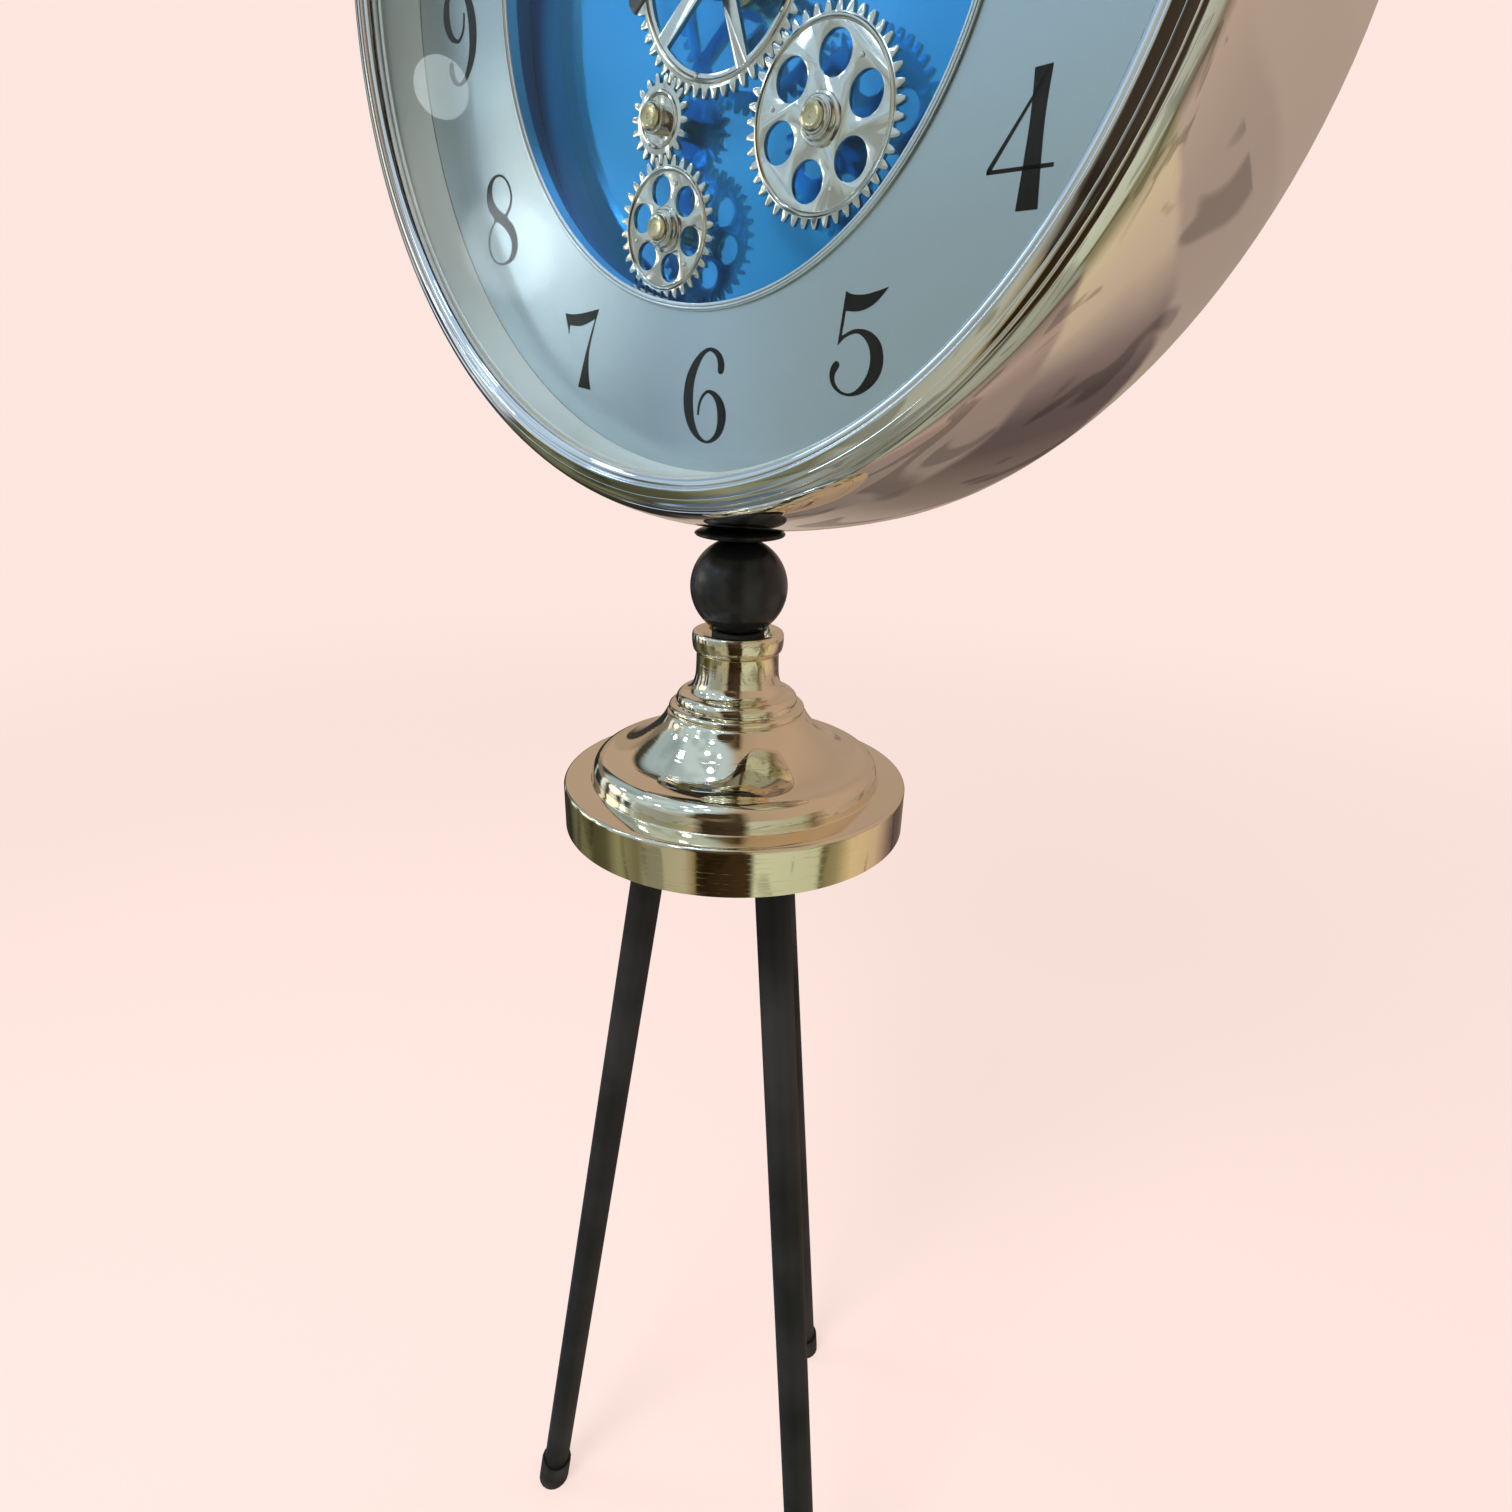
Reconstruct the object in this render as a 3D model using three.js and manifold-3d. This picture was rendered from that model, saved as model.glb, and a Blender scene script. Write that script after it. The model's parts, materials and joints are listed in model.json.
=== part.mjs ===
// Floor clock: a bulged round case with moving gears behind its dial, on a turned pedestal and three legs.
// Millimetres, +Z up, the dial faces -Y. The origin is the middle of the footprint, on the floor.
import * as THREE from "three";
import { mergeVertices } from "three/addons/utils/BufferGeometryUtils.js";
import Module from "manifold-3d";

const wasm = await Module();
wasm.setup();

// Stand
const LEG_DROP = 780; // floor to the underside of the pedestal
const LEG_RADIUS = 12;
const LEG_SLOPE = 0.1557; // outward run for each unit of drop
const LEG_CIRCLE = 54.5; // radius where the leg axes cross the underside of the pedestal
const LEG_TURN = 6; // degrees that the tripod is turned against the head
const LEG_NAMES = ["rear", "left", "right"];
const SOCKET_WALL = 2.7;
const SOCKET_REACH = 12; // how far a socket shows below the pedestal
const FOOT_WALL = 2.4;
const FOOT_GRIP = 22; // how far a foot sleeve climbs its leg
const FOOT_SOLE = 6; // rubber under the middle of the leg end
const PLATE_THICKNESS = 3;

// Pedestal
const BASE_RADIUS = 117.5;
const RIM_HEIGHT = 31;
const RIM_ROUND = 2.5;
const SHEET = 2; // wall of the spun pedestal
const ROLL_RADIUS = 98.4;
const ROLL_WIDTH = 12; // from the foot of the roll in to its crown
const ROLL_RISE = 17;
const BELL_RISE = 30.6;
const BELL_RADIUS = 45;
const LOW_BEAD_HEIGHT = 4.8;
const RING_HEIGHT = 1.6;
const HIGH_BEAD_HEIGHT = 7;
const NECK_RADIUS = 27.4;
const NECK_HEIGHT = 34.5;
const LIP_RADIUS = 30.4;
const LIP_HEIGHT = 6;
const CUP_RADIUS = 20;
const CUP_DEPTH = 6;

// Neck joint between the pedestal and the case
const BALL_RADIUS = 31.5;
const BALL_FLAT_RADIUS = 7.5;
const BALL_SEAT_WEB = 3; // thickness of the seat under the ball's flat
const BALL_SEAT_WIDTH = 12;
const WASHER_RADIUS = 28;
const WASHER_THICKNESS = 2;
const PAD_RADIUS = 28.8;
const PAD_THICKNESS = 2.6; // of the saddle pad, over the rod
const ROD_RADIUS = 5;
const NUT_RADIUS = 9;
const NUT_HEIGHT = 8;
const ROD_END = 5; // rod thread left over past a nut
const CLAMP_RADIUS = 22;
const CLAMP_HEIGHT = 9;

// Case, measured from the dial face: positive is towards the front
const DIAL_FORWARD = 33.5; // dial face ahead of the rod
const CASE_MAX_RADIUS = 280;
const CASE_BULGE = 21.3; // the widest radius less the radius of the front opening
const CASE_BULGE_LENGTH = 114.6; // from the front edge back to the widest place
const CASE_FRONT = 34.3;
const CASE_BACK = 109;
const CASE_WALL = 2;
const SHOULDER_RADIUS = 12;
const REAR_RIM = 15; // flat rim round the rear cover
const COVER_RECESS = 4;
const COVER_LIP = 15;
const FLANGE_WIDTH = 8.7; // of the case's turned-in front edge
const LEDGE_WIDTH = 11;
const LEDGE_THICKNESS = 2;

// Bezel and glass
const BEZEL_WIDTH = 16;
const BEZEL_OVERHANG = 1.3; // of the bezel past the case's front edge
const BEZEL_RISE = 4.2;
const SKIRT_WALL = 2.2;
const SKIRT_LENGTH = 13;
const GLASS_THICKNESS = 3;
const GASKET_THICKNESS = 3;
const GASKET_WIDTH = 4;
const REFLECTOR_WALL = 1.8;

// Dial
const DIAL_MARGIN = 5.1; // from the edge of the dial to the bezel's skirt
const DIAL_THICKNESS = 1.5;
const WINDOW_RADIUS = 154;
const TRIM_WIDTH = 4.3;
const TRIM_HEIGHT = 2.6;
const TRIM_WALL = 1.4;
const TRIM_DEPTH = 6;
const CARRIER_THICKNESS = 3;
const WELL_MARGIN = 14; // from the window's edge to the well's wall
const WELL_WALL = 2;
const WELL_DEPTH = 22;
const BACK_PLATE_MARGIN = 6; // of the back plate past the well's wall
const BACK_PLATE_THICKNESS = 1.5;

// Gears
const GEAR_MODULE = 2.1;
const PRESSURE_ANGLE = 20; // degrees
const ADDENDUM = 0.95; // in modules
const DEDENDUM = 1.25; // in modules
const BACKLASH = 0.7; // cut from the thickness of each tooth
const WHEEL_FACE = 3;
const WHEEL_FRONT = -9.5; // front of the toothed faces, from the dial face
const CENTRE_TEETH = 54;
const LOWER_TEETH = 32;
const RIGHT_TEETH = 42;
const IDLER_TEETH = 18;
const UPPER_TEETH = 36;
const PINION_TEETH = 12;
const LOWER_REACH = 121.1; // clock centre to the lower wheel's centre
const LOWER_BEARING = 251.5; // degrees, anticlockwise from three o'clock
const RIGHT_BEARING = 310.5;
const UPPER_BEARING = 55;
const PINION_BEARING = 140;
const HUB_RADIUS = 9.5;
const HUB_FRONT = 7;
const HUB_STEP = 2;
const POST_RADIUS = 3;
const POST_FOOT_RADIUS = 6;
const POST_HEAD = 1.6;
const RUNNING = 0.4; // clearance of a turning piece round its shaft

// Centre arbor and hands
const ARBOR_RADIUS = 2.3;
const TUBE_WALL = 1;
const BUSHING_WALL = 0.9;
const BEARING_WALL = 3;
const BEARING_SHOULDER = 2.5;
const BEARING_flangeRadius = 17;
const BEARING_FLANGE_THICKNESS = 2.5;
const COLLAR_WIDTH = 3.6;
const COLLAR_THICKNESS = 1.8;
const HAND_THICKNESS = 1.2;
const HAND_BOSS_RADIUS = 10;
const HOUR_HAND_LENGTH = 132;
const HOUR_HAND_WIDTH = 17;
const HOUR_HAND_HEIGHT = 8; // above the dial face
const MINUTE_HAND_LENGTH = 205;
const MINUTE_HAND_WIDTH = 13;
const HAND_TAIL = 42;
const HAND_TAIL_WIDTH = 9;
const HAND_NECK_WIDTH = 5.2;
const HAND_TAIL_ROUND = 3;
const HAND_STEP = 5; // from the hour hand's front to the minute hand's back
const HANDS_AT = [10, 10]; // hours and minutes shown

// Behind the back plate
const MOVEMENT_SIDE = 62;
const MOVEMENT_DEPTH = 20;
const BATTERY_RADIUS = 7;
const BATTERY_LENGTH = 50;
const BATTERY_DROP = 19; // battery axis below the arbor
const KNOB_RADIUS = 10;
const KNOB_THICKNESS = 7;
const KNOB_RISE = 11; // knob axis above the arbor
const KNOB_SHAFT_RADIUS = 2.4;
const MOTOR_RADIUS = 16;
const MOTOR_LENGTH = 24;
const PINION_SHAFT_RADIUS = 2;
const COVER_THICKNESS = 2.5;
const DOOR_WIDTH = 150;
const DOOR_HEIGHT = 116;
const SLOT_WIDTH = 30; // of the finger slot in the door
const SLOT_HEIGHT = 12;
const SLOT_DROP = 16; // from the door's top edge to the middle of the slot
const SCREW_RADIUS = 1.6;
const SCREW_HEAD_RADIUS = 4;
const SCREW_HEAD = 2;
const SCREW_COUNT = 4;

// Shared
const SEAT = 0.3; // gap between pieces that rest on each other
const RIM_STEPS = 32; // facets round the case and its rings
const TURN_STEPS = 24; // facets round the pedestal and the ball
const SMALL_STEPS = 12; // facets round small pins and bosses
const HOLE_STEPS = 8; // facets of each half of a hole through a plate
const WINDOW_STEPS = 5; // the same, for the windows of the wheels

const radians = THREE.MathUtils.degToRad;
const polar = (radius, degrees) =>
  new THREE.Vector2(radius * Math.cos(radians(degrees)), radius * Math.sin(radians(degrees)));

// Materials
const finish = (color, metalness, roughness) =>
  new THREE.MeshStandardMaterial({ color, metalness, roughness });
const CHROME = finish(0xd4d2cf, 1, 0.08);
const BRASS_PLATE = finish(0xd8c391, 1, 0.12);
const BLACK_SATIN = finish(0x17181a, 0.2, 0.45);
const RUBBER = finish(0x101112, 0, 0.85);
const STEEL = finish(0xa5a8ab, 1, 0.35);
const ALUMINIUM = finish(0xbfc9ce, 0.9, 0.3);
const NICKEL = finish(0xcfc9b8, 1, 0.2);
const BLUE_PLATE = finish(0x1f74bd, 0.8, 0.3);
const BRASS = finish(0xb9974f, 1, 0.3);
const GLASS = finish(0xe8f1f2, 0, 0.05);
GLASS.transparent = true;
GLASS.opacity = 0.3;
const BLACK_BOARD = finish(0x24221f, 0, 0.8);
const BLACK_PLASTIC = finish(0x1c1d1f, 0, 0.5);
const GREEN_SLEEVE = finish(0x3c6b4a, 0.2, 0.5);

// Solids for cutting and joining
function toSolid(geometry) {
  const bare = geometry.index ? geometry.toNonIndexed() : geometry.clone();
  bare.deleteAttribute("normal");
  bare.deleteAttribute("uv");
  const merged = mergeVertices(bare, 1e-4);
  return new wasm.Manifold(
    new wasm.Mesh({
      numProp: 3,
      vertProperties: merged.attributes.position.array,
      triVerts: new Uint32Array(merged.index.array),
    }),
  );
}

function toGeometry(solid) {
  const { numProp, vertProperties, triVerts } = solid.getMesh();
  const places = new Float32Array((vertProperties.length / numProp) * 3);
  for (let i = 0; i * numProp < vertProperties.length; i++) {
    places.set(vertProperties.subarray(i * numProp, i * numProp + 3), i * 3);
  }
  const geometry = new THREE.BufferGeometry();
  geometry.setAttribute("position", new THREE.BufferAttribute(places, 3));
  geometry.setIndex(new THREE.BufferAttribute(new Uint32Array(triVerts), 1));
  geometry.computeVertexNormals();
  return geometry;
}

function named(name, shape, material) {
  const mesh = new THREE.Mesh(shape.isBufferGeometry ? shape : toGeometry(shape), material);
  mesh.name = name;
  return mesh;
}

// A profile of [radius, height] pairs turned about Z. A profile off the axis is closed on itself.
function turned(pairs, steps = RIM_STEPS) {
  const points = pairs.map(([radius, height]) => new THREE.Vector2(radius, height));
  const onAxis = points[0].x === 0 && points.at(-1).x === 0;
  if (THREE.ShapeUtils.area(points) < 0) points.reverse();
  if (!onAxis) points.push(points[0].clone());
  return new THREE.LatheGeometry(points, steps).rotateX(Math.PI / 2);
}

const ring = (inner, outer, low, high, steps = RIM_STEPS) =>
  turned([[inner, low], [outer, low], [outer, high], [inner, high]], steps);

const disc = (radius, low, high, steps = SMALL_STEPS) =>
  turned([[0, low], [radius, low], [radius, high], [0, high]], steps);

const pairsOf = (path, divisions) => path.getPoints(divisions).map((point) => [point.x, point.y]);

function plate(outline, low, thickness, curveSegments = HOLE_STEPS) {
  const options = { depth: thickness, bevelEnabled: false, curveSegments };
  return new THREE.ExtrudeGeometry(outline, options).translate(0, 0, low);
}

// A solid with round holes through it at a list of places.
function drilled(solid, radius, places) {
  const reach = 2 * CASE_MAX_RADIUS;
  return places.reduce((cut, place) => {
    const hole = disc(radius, -reach, reach, 12).translate(place.x, place.y, 0);
    return cut.subtract(toSolid(hole));
  }, solid);
}

function rectangle(width, height) {
  const shape = new THREE.Shape();
  shape.moveTo(-width / 2, -height / 2);
  shape.lineTo(width / 2, -height / 2);
  shape.lineTo(width / 2, height / 2);
  shape.lineTo(-width / 2, height / 2);
  return shape;
}

function roundHole(radius, x = 0, y = 0) {
  const hole = new THREE.Path();
  hole.absarc(x, y, radius, 0, 2 * Math.PI, true);
  return hole;
}

function hexagon(radius, boreRadius) {
  const corners = [0, 60, 120, 180, 240, 300].map((degrees) => polar(radius, degrees));
  const shape = new THREE.Shape(corners);
  if (boreRadius) shape.holes.push(roundHole(boreRadius));
  return shape;
}

// Pedestal levels, from its underside
const rollTop = RIM_HEIGHT + ROLL_RISE;
const bellTop = rollTop + BELL_RISE;
const lowBeadTop = bellTop + LOW_BEAD_HEIGHT;
const ringTop = lowBeadTop + RING_HEIGHT;
const highBeadTop = ringTop + HIGH_BEAD_HEIGHT;
const neckTop = highBeadTop + NECK_HEIGHT;
const pedestalTop = neckTop + LIP_HEIGHT;
const cupFloor = pedestalTop - CUP_DEPTH;
const rollCrown = ROLL_RADIUS - ROLL_WIDTH;
const bellFoot = BELL_RADIUS + (rollCrown - BELL_RADIUS) * 0.4;
const bellWaist = rollTop + BELL_RISE * 0.41;

// The outside of the pedestal, from the rim's foot up to the hole in the cup floor.
function pedestalOutside() {
  const path = new THREE.Path();
  path.moveTo(BASE_RADIUS, 0);
  path.lineTo(BASE_RADIUS, RIM_HEIGHT - RIM_ROUND);
  path.lineTo(BASE_RADIUS - RIM_ROUND * 0.3, RIM_HEIGHT - RIM_ROUND * 0.3);
  path.lineTo(BASE_RADIUS - RIM_ROUND, RIM_HEIGHT);
  path.lineTo(ROLL_RADIUS, RIM_HEIGHT);
  path.bezierCurveTo(ROLL_RADIUS + 0.5, rollTop - 9.5, ROLL_RADIUS - 2.2, rollTop - 0.6, rollCrown, rollTop);
  path.bezierCurveTo(rollCrown - 7.5, rollTop + 0.6, bellFoot + 9, bellWaist - 7.3, bellFoot, bellWaist);
  path.quadraticCurveTo(BELL_RADIUS + 7, bellTop - 11, BELL_RADIUS + 3.2, bellTop - 3.4);
  path.lineTo(BELL_RADIUS, bellTop);
  path.quadraticCurveTo(BELL_RADIUS + 2.6, bellTop + LOW_BEAD_HEIGHT * 0.6, BELL_RADIUS - 3, lowBeadTop);
  path.lineTo(BELL_RADIUS - 3.4, ringTop - 0.4);
  path.lineTo(BELL_RADIUS - 4.2, ringTop);
  path.quadraticCurveTo(BELL_RADIUS - 3, ringTop + HIGH_BEAD_HEIGHT * 0.7, NECK_RADIUS + 6.8, highBeadTop);
  path.quadraticCurveTo(NECK_RADIUS + 0.8, highBeadTop + 3, NECK_RADIUS + 0.3, highBeadTop + 13);
  path.lineTo(NECK_RADIUS, neckTop - 8.5);
  path.quadraticCurveTo(NECK_RADIUS + 0.4, neckTop - 5.5, LIP_RADIUS - 0.4, neckTop - 4);
  path.lineTo(LIP_RADIUS, neckTop);
  path.lineTo(LIP_RADIUS, pedestalTop - 2);
  path.lineTo(LIP_RADIUS - 1.6, pedestalTop);
  path.lineTo(CUP_RADIUS + 2, pedestalTop);
  path.lineTo(CUP_RADIUS, cupFloor);
  path.lineTo(ROD_RADIUS + RUNNING, cupFloor);
  return path;
}

// The inside of the pedestal, one sheet in from the main forms, from the cup floor back to the rim.
function pedestalInside() {
  const boreTop = cupFloor - SHEET;
  return [
    [ROD_RADIUS + RUNNING, boreTop],
    [NECK_RADIUS - SHEET, boreTop],
    [NECK_RADIUS - SHEET, highBeadTop + NECK_HEIGHT * 0.3],
    [NECK_RADIUS + 2, highBeadTop - SHEET],
    [BELL_RADIUS - SHEET - 1, bellTop - SHEET - 1],
    [bellFoot - SHEET, bellWaist - SHEET],
    [(bellFoot + rollCrown) / 2 - 1, (bellWaist + rollTop) / 2 - 4],
    [rollCrown - SHEET, rollTop - SHEET],
    [ROLL_RADIUS - 2.4 - SHEET, rollTop - 8],
    [ROLL_RADIUS - SHEET, RIM_HEIGHT - SHEET],
    [BASE_RADIUS - SHEET, RIM_HEIGHT - SHEET],
    [BASE_RADIUS - SHEET, 0],
  ];
}

function makePedestal() {
  const profile = [...pairsOf(pedestalOutside(), 2), ...pedestalInside()];
  const pedestal = named("pedestal", turned(profile, TURN_STEPS), BRASS_PLATE);
  pedestal.position.z = LEG_DROP;
  return pedestal;
}

// The leg axes lean outward; each leg stands at its own bearing round the rod.
const legLean = Math.atan(LEG_SLOPE);
const legBearing = (index) => 90 + LEG_TURN + 120 * index;
const plateTop = LEG_DROP + RIM_HEIGHT - SHEET - SEAT;
const plateBottom = plateTop - PLATE_THICKNESS;
const legTop = plateBottom - SEAT - LEG_RADIUS * Math.sin(legLean);
const legEnd = FOOT_SOLE + LEG_RADIUS * Math.sin(legLean);

// A group whose +Z runs up a leg axis, with its origin on that axis at a height above the floor.
function onLeg(index, height, ...meshes) {
  const lean = new THREE.Group();
  lean.rotation.y = -legLean;
  lean.position.x = LEG_CIRCLE + LEG_SLOPE * (LEG_DROP - height);
  lean.position.z = height;
  lean.add(...meshes);
  const turn = new THREE.Group();
  turn.rotation.z = radians(legBearing(index));
  turn.add(lean);
  return turn;
}

function placed(geometry, group) {
  const carrier = new THREE.Mesh(geometry);
  const outer = group(carrier);
  outer.updateMatrixWorld(true);
  return toSolid(geometry.clone().applyMatrix4(carrier.matrixWorld));
}

function makeLeg(index) {
  const length = (legTop - legEnd) / Math.cos(legLean);
  const leg = named(LEG_NAMES[index] + "_leg", disc(LEG_RADIUS, 0, length, 20), BLACK_SATIN);
  return onLeg(index, legEnd, leg);
}

function makeFoot(index) {
  const outer = LEG_RADIUS + SEAT + FOOT_WALL;
  const sleeve = placed(disc(outer, -3 * FOOT_SOLE, FOOT_GRIP, 20), (mesh) => onLeg(index, legEnd, mesh));
  const drill = disc(LEG_RADIUS + SEAT, -SEAT, 2 * FOOT_GRIP, 20);
  const bore = placed(drill, (mesh) => onLeg(index, legEnd, mesh));
  const reach = 4 * (LEG_CIRCLE + LEG_SLOPE * LEG_DROP);
  const floor = toSolid(new THREE.BoxGeometry(reach, reach, reach).translate(0, 0, -reach / 2));
  return named(LEG_NAMES[index] + "_foot", sleeve.subtract(bore).subtract(floor), RUBBER);
}

// A steel disc with three slanted sockets welded to its underside.
function makeLegPlate() {
  const boss = LEG_RADIUS + SEAT + SOCKET_WALL;
  const drop = plateBottom - LEG_DROP + SOCKET_REACH;
  const down = drop / Math.cos(legLean);
  const edge = BASE_RADIUS - SHEET - RIM_ROUND;
  let solid = toSolid(ring(ROD_RADIUS + RUNNING, edge, plateBottom, plateTop, TURN_STEPS));
  const above = toSolid(disc(2 * BASE_RADIUS, plateTop - PLATE_THICKNESS / 2, plateTop + BASE_RADIUS));
  LEG_NAMES.forEach((_, index) => {
    const socket = placed(disc(boss, -down, boss, 20), (mesh) => onLeg(index, plateBottom, mesh));
    solid = solid.add(socket.subtract(above));
  });
  LEG_NAMES.forEach((_, index) => {
    const drill = disc(LEG_RADIUS + SEAT, -2 * down, 0, 20);
    solid = solid.subtract(placed(drill, (mesh) => onLeg(index, legTop + SEAT, mesh)));
  });
  return named("leg_plate", solid, STEEL);
}

// Neck joint: heights above the floor, on the rod axis
const cupFloorHeight = LEG_DROP + cupFloor;
const ballFlat = Math.sqrt(BALL_RADIUS ** 2 - BALL_FLAT_RADIUS ** 2);
const ballCentre = cupFloorHeight + SEAT + BALL_SEAT_WEB + SEAT + ballFlat;
const ballTop = ballCentre + ballFlat;
const washerBottom = ballTop + SEAT;
const washerTop = washerBottom + WASHER_THICKNESS;
const padBottom = washerTop + SEAT;

// Radius of the case's outer wall at a depth from the dial face
const bulgeCentre = CASE_FRONT - CASE_BULGE_LENGTH;
const caseRadius = (depth) =>
  CASE_MAX_RADIUS - CASE_BULGE +
  CASE_BULGE * Math.sqrt(Math.max(0, 1 - ((depth - bulgeCentre) / CASE_BULGE_LENGTH) ** 2));
const caseFrontRadius = CASE_MAX_RADIUS - CASE_BULGE;
const flangeRadius = caseFrontRadius - FLANGE_WIDTH;
const bezelOuter = caseFrontRadius + BEZEL_OVERHANG;
const bezelInner = bezelOuter - BEZEL_WIDTH;
const headHeight = padBottom + PAD_THICKNESS + SEAT + caseRadius(-DIAL_FORWARD);
const clampBase = headHeight - caseRadius(-DIAL_FORWARD) + CASE_WALL + SEAT;
const clampTop = clampBase + CLAMP_HEIGHT;

function makeBall() {
  const from = Math.asin(ballFlat / BALL_RADIUS);
  const path = new THREE.Path();
  path.absarc(0, 0, BALL_RADIUS, -from, from, false);
  const bore = ROD_RADIUS + RUNNING;
  const profile = [[bore, -ballFlat], ...pairsOf(path, 6), [bore, ballFlat]];
  const ball = named("ball", turned(profile, TURN_STEPS), BLACK_SATIN);
  ball.position.z = ballCentre;
  return ball;
}

function makeBallSeat() {
  const bore = ROD_RADIUS + RUNNING;
  const outer = bore + BALL_SEAT_WIDTH;
  const hollow = toSolid(new THREE.SphereGeometry(BALL_RADIUS + SEAT, TURN_STEPS, 16));
  const flat = toSolid(disc(BALL_FLAT_RADIUS + 1, -ballFlat - SEAT, 0, TURN_STEPS));
  const low = cupFloorHeight + SEAT - ballCentre;
  const blank = toSolid(ring(bore, outer, low, low + CUP_DEPTH - 2 * SEAT, TURN_STEPS));
  const seat = named("ball_seat", blank.subtract(hollow.add(flat)), RUBBER);
  seat.position.z = ballCentre;
  return seat;
}

function makeNeckWasher() {
  const bore = ROD_RADIUS + RUNNING;
  const edge = WASHER_THICKNESS / 4;
  const profile = [
    [bore, washerBottom],
    [WASHER_RADIUS - edge, washerBottom],
    [WASHER_RADIUS, washerBottom + edge],
    [WASHER_RADIUS, washerTop - edge],
    [WASHER_RADIUS - edge, washerTop],
    [bore, washerTop],
  ];
  return named("neck_washer", turned(profile, TURN_STEPS), BLACK_SATIN);
}

// The case's round wall, grown or shrunk by a margin, as a filled solid where the head stands.
function caseEnvelope(margin) {
  const profile = caseWall(margin);
  const first = profile[0];
  const last = profile.at(-1);
  const filled = turned([[0, first[1]], ...profile, [0, last[1]]]);
  return placed(filled, (mesh) => onHead(mesh));
}

function makeSaddlePad() {
  const bore = ROD_RADIUS + RUNNING;
  const blank = toSolid(ring(bore, PAD_RADIUS, padBottom, padBottom + CASE_BULGE, TURN_STEPS));
  return named("saddle_pad", blank.subtract(caseEnvelope(SEAT)), BLACK_SATIN);
}

function makeClampBlock() {
  const bore = ROD_RADIUS + RUNNING;
  const blank = toSolid(ring(bore, CLAMP_RADIUS, clampBase - CASE_BULGE, clampTop, TURN_STEPS));
  return named("clamp_block", blank.intersect(caseEnvelope(-CASE_WALL - SEAT)), STEEL);
}

function makeRodParts() {
  const rodLow = plateBottom - SEAT - NUT_HEIGHT - ROD_END;
  const rodHigh = clampTop + SEAT + NUT_HEIGHT + ROD_END;
  const outline = hexagon(NUT_RADIUS, ROD_RADIUS + SEAT);
  const nut = (name, low) => named(name, plate(outline, low, NUT_HEIGHT), STEEL);
  return [
    named("tie_rod", disc(ROD_RADIUS, rodLow, rodHigh), STEEL),
    nut("plate_nut", plateBottom - SEAT - NUT_HEIGHT),
    nut("case_nut", clampTop + SEAT),
  ];
}

// Head frame: X to the right, Y up and Z towards the front, from the centre of the dial face
function onHead(...meshes) {
  const head = new THREE.Group();
  head.rotation.x = Math.PI / 2;
  head.position.set(0, -DIAL_FORWARD, headHeight);
  head.add(...meshes);
  return head;
}

// The bulged wall from the front edge to the rear rim, as [radius, depth] pairs.
function caseWall(margin) {
  const shoulderStart = -CASE_BACK + SHOULDER_RADIUS;
  const steps = 5;
  const pairs = [];
  for (let i = 0; i <= steps; i++) {
    const angle = (Math.PI / 2) * (i / steps);
    const depth = bulgeCentre + (CASE_BULGE_LENGTH + margin) * Math.cos(angle);
    if (depth > shoulderStart) {
      pairs.push([CASE_MAX_RADIUS - CASE_BULGE + (CASE_BULGE + margin) * Math.sin(angle), depth]);
    }
  }
  const shoulderRadius = caseRadius(shoulderStart) - SHOULDER_RADIUS;
  for (let i = 0; i <= 2; i++) {
    const angle = (Math.PI / 2) * (i / 2);
    const reach = SHOULDER_RADIUS + margin;
    pairs.push([shoulderRadius + reach * Math.cos(angle), shoulderStart - reach * Math.sin(angle)]);
  }
  return pairs;
}

// Dial stack, as depths from the dial face
const carrierFront = -DIAL_THICKNESS - SEAT;
const carrierBack = carrierFront - CARRIER_THICKNESS;
const ledgeFront = carrierBack - SEAT;
const ledgeBack = ledgeFront - LEDGE_THICKNESS;
const wellRadius = WINDOW_RADIUS + WELL_MARGIN;
const backPlateRadius = wellRadius + WELL_WALL + BACK_PLATE_MARGIN;
const wellFront = carrierBack - SEAT;
const wellBack = wellFront - WELL_DEPTH;
const backPlateFront = wellBack - SEAT;
const backPlateBack = backPlateFront - BACK_PLATE_THICKNESS;
const innerWall = (depth) => caseRadius(depth) - CASE_WALL;
const rimInner = caseRadius(-CASE_BACK + SHOULDER_RADIUS) - SHOULDER_RADIUS - REAR_RIM;
const recessFloor = -CASE_BACK + COVER_RECESS;

function makeCaseShell() {
  const inside = caseWall(-CASE_WALL).reverse();
  const behindLedge = inside.filter(([, depth]) => depth < ledgeBack);
  const aheadOfLedge = inside.filter(([, depth]) => depth > ledgeFront && depth < CASE_FRONT - CASE_WALL);
  const frontInside = CASE_FRONT - CASE_WALL;
  const profile = [
    [flangeRadius, CASE_FRONT],
    ...caseWall(0),
    [rimInner, -CASE_BACK],
    [rimInner, recessFloor],
    [rimInner - COVER_LIP, recessFloor],
    [rimInner - COVER_LIP, recessFloor + CASE_WALL],
    [rimInner + CASE_WALL, recessFloor + CASE_WALL],
    [rimInner + CASE_WALL, -CASE_BACK + CASE_WALL],
    ...behindLedge,
    [innerWall(ledgeBack), ledgeBack],
    [innerWall(ledgeBack) - LEDGE_WIDTH, ledgeBack],
    [innerWall(ledgeBack) - LEDGE_WIDTH, ledgeFront],
    [innerWall(ledgeFront), ledgeFront],
    ...aheadOfLedge,
    [flangeRadius, frontInside],
  ];
  const drill = disc(ROD_RADIUS + RUNNING, 0, 2 * CASE_MAX_RADIUS);
  const rodHole = drill.rotateX(Math.PI / 2).translate(0, 0, -DIAL_FORWARD);
  const solid = toSolid(turned(profile)).subtract(toSolid(rodHole));
  return named("case_shell", drilled(solid, SCREW_RADIUS + SEAT, screwPlaces()), CHROME);
}

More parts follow.
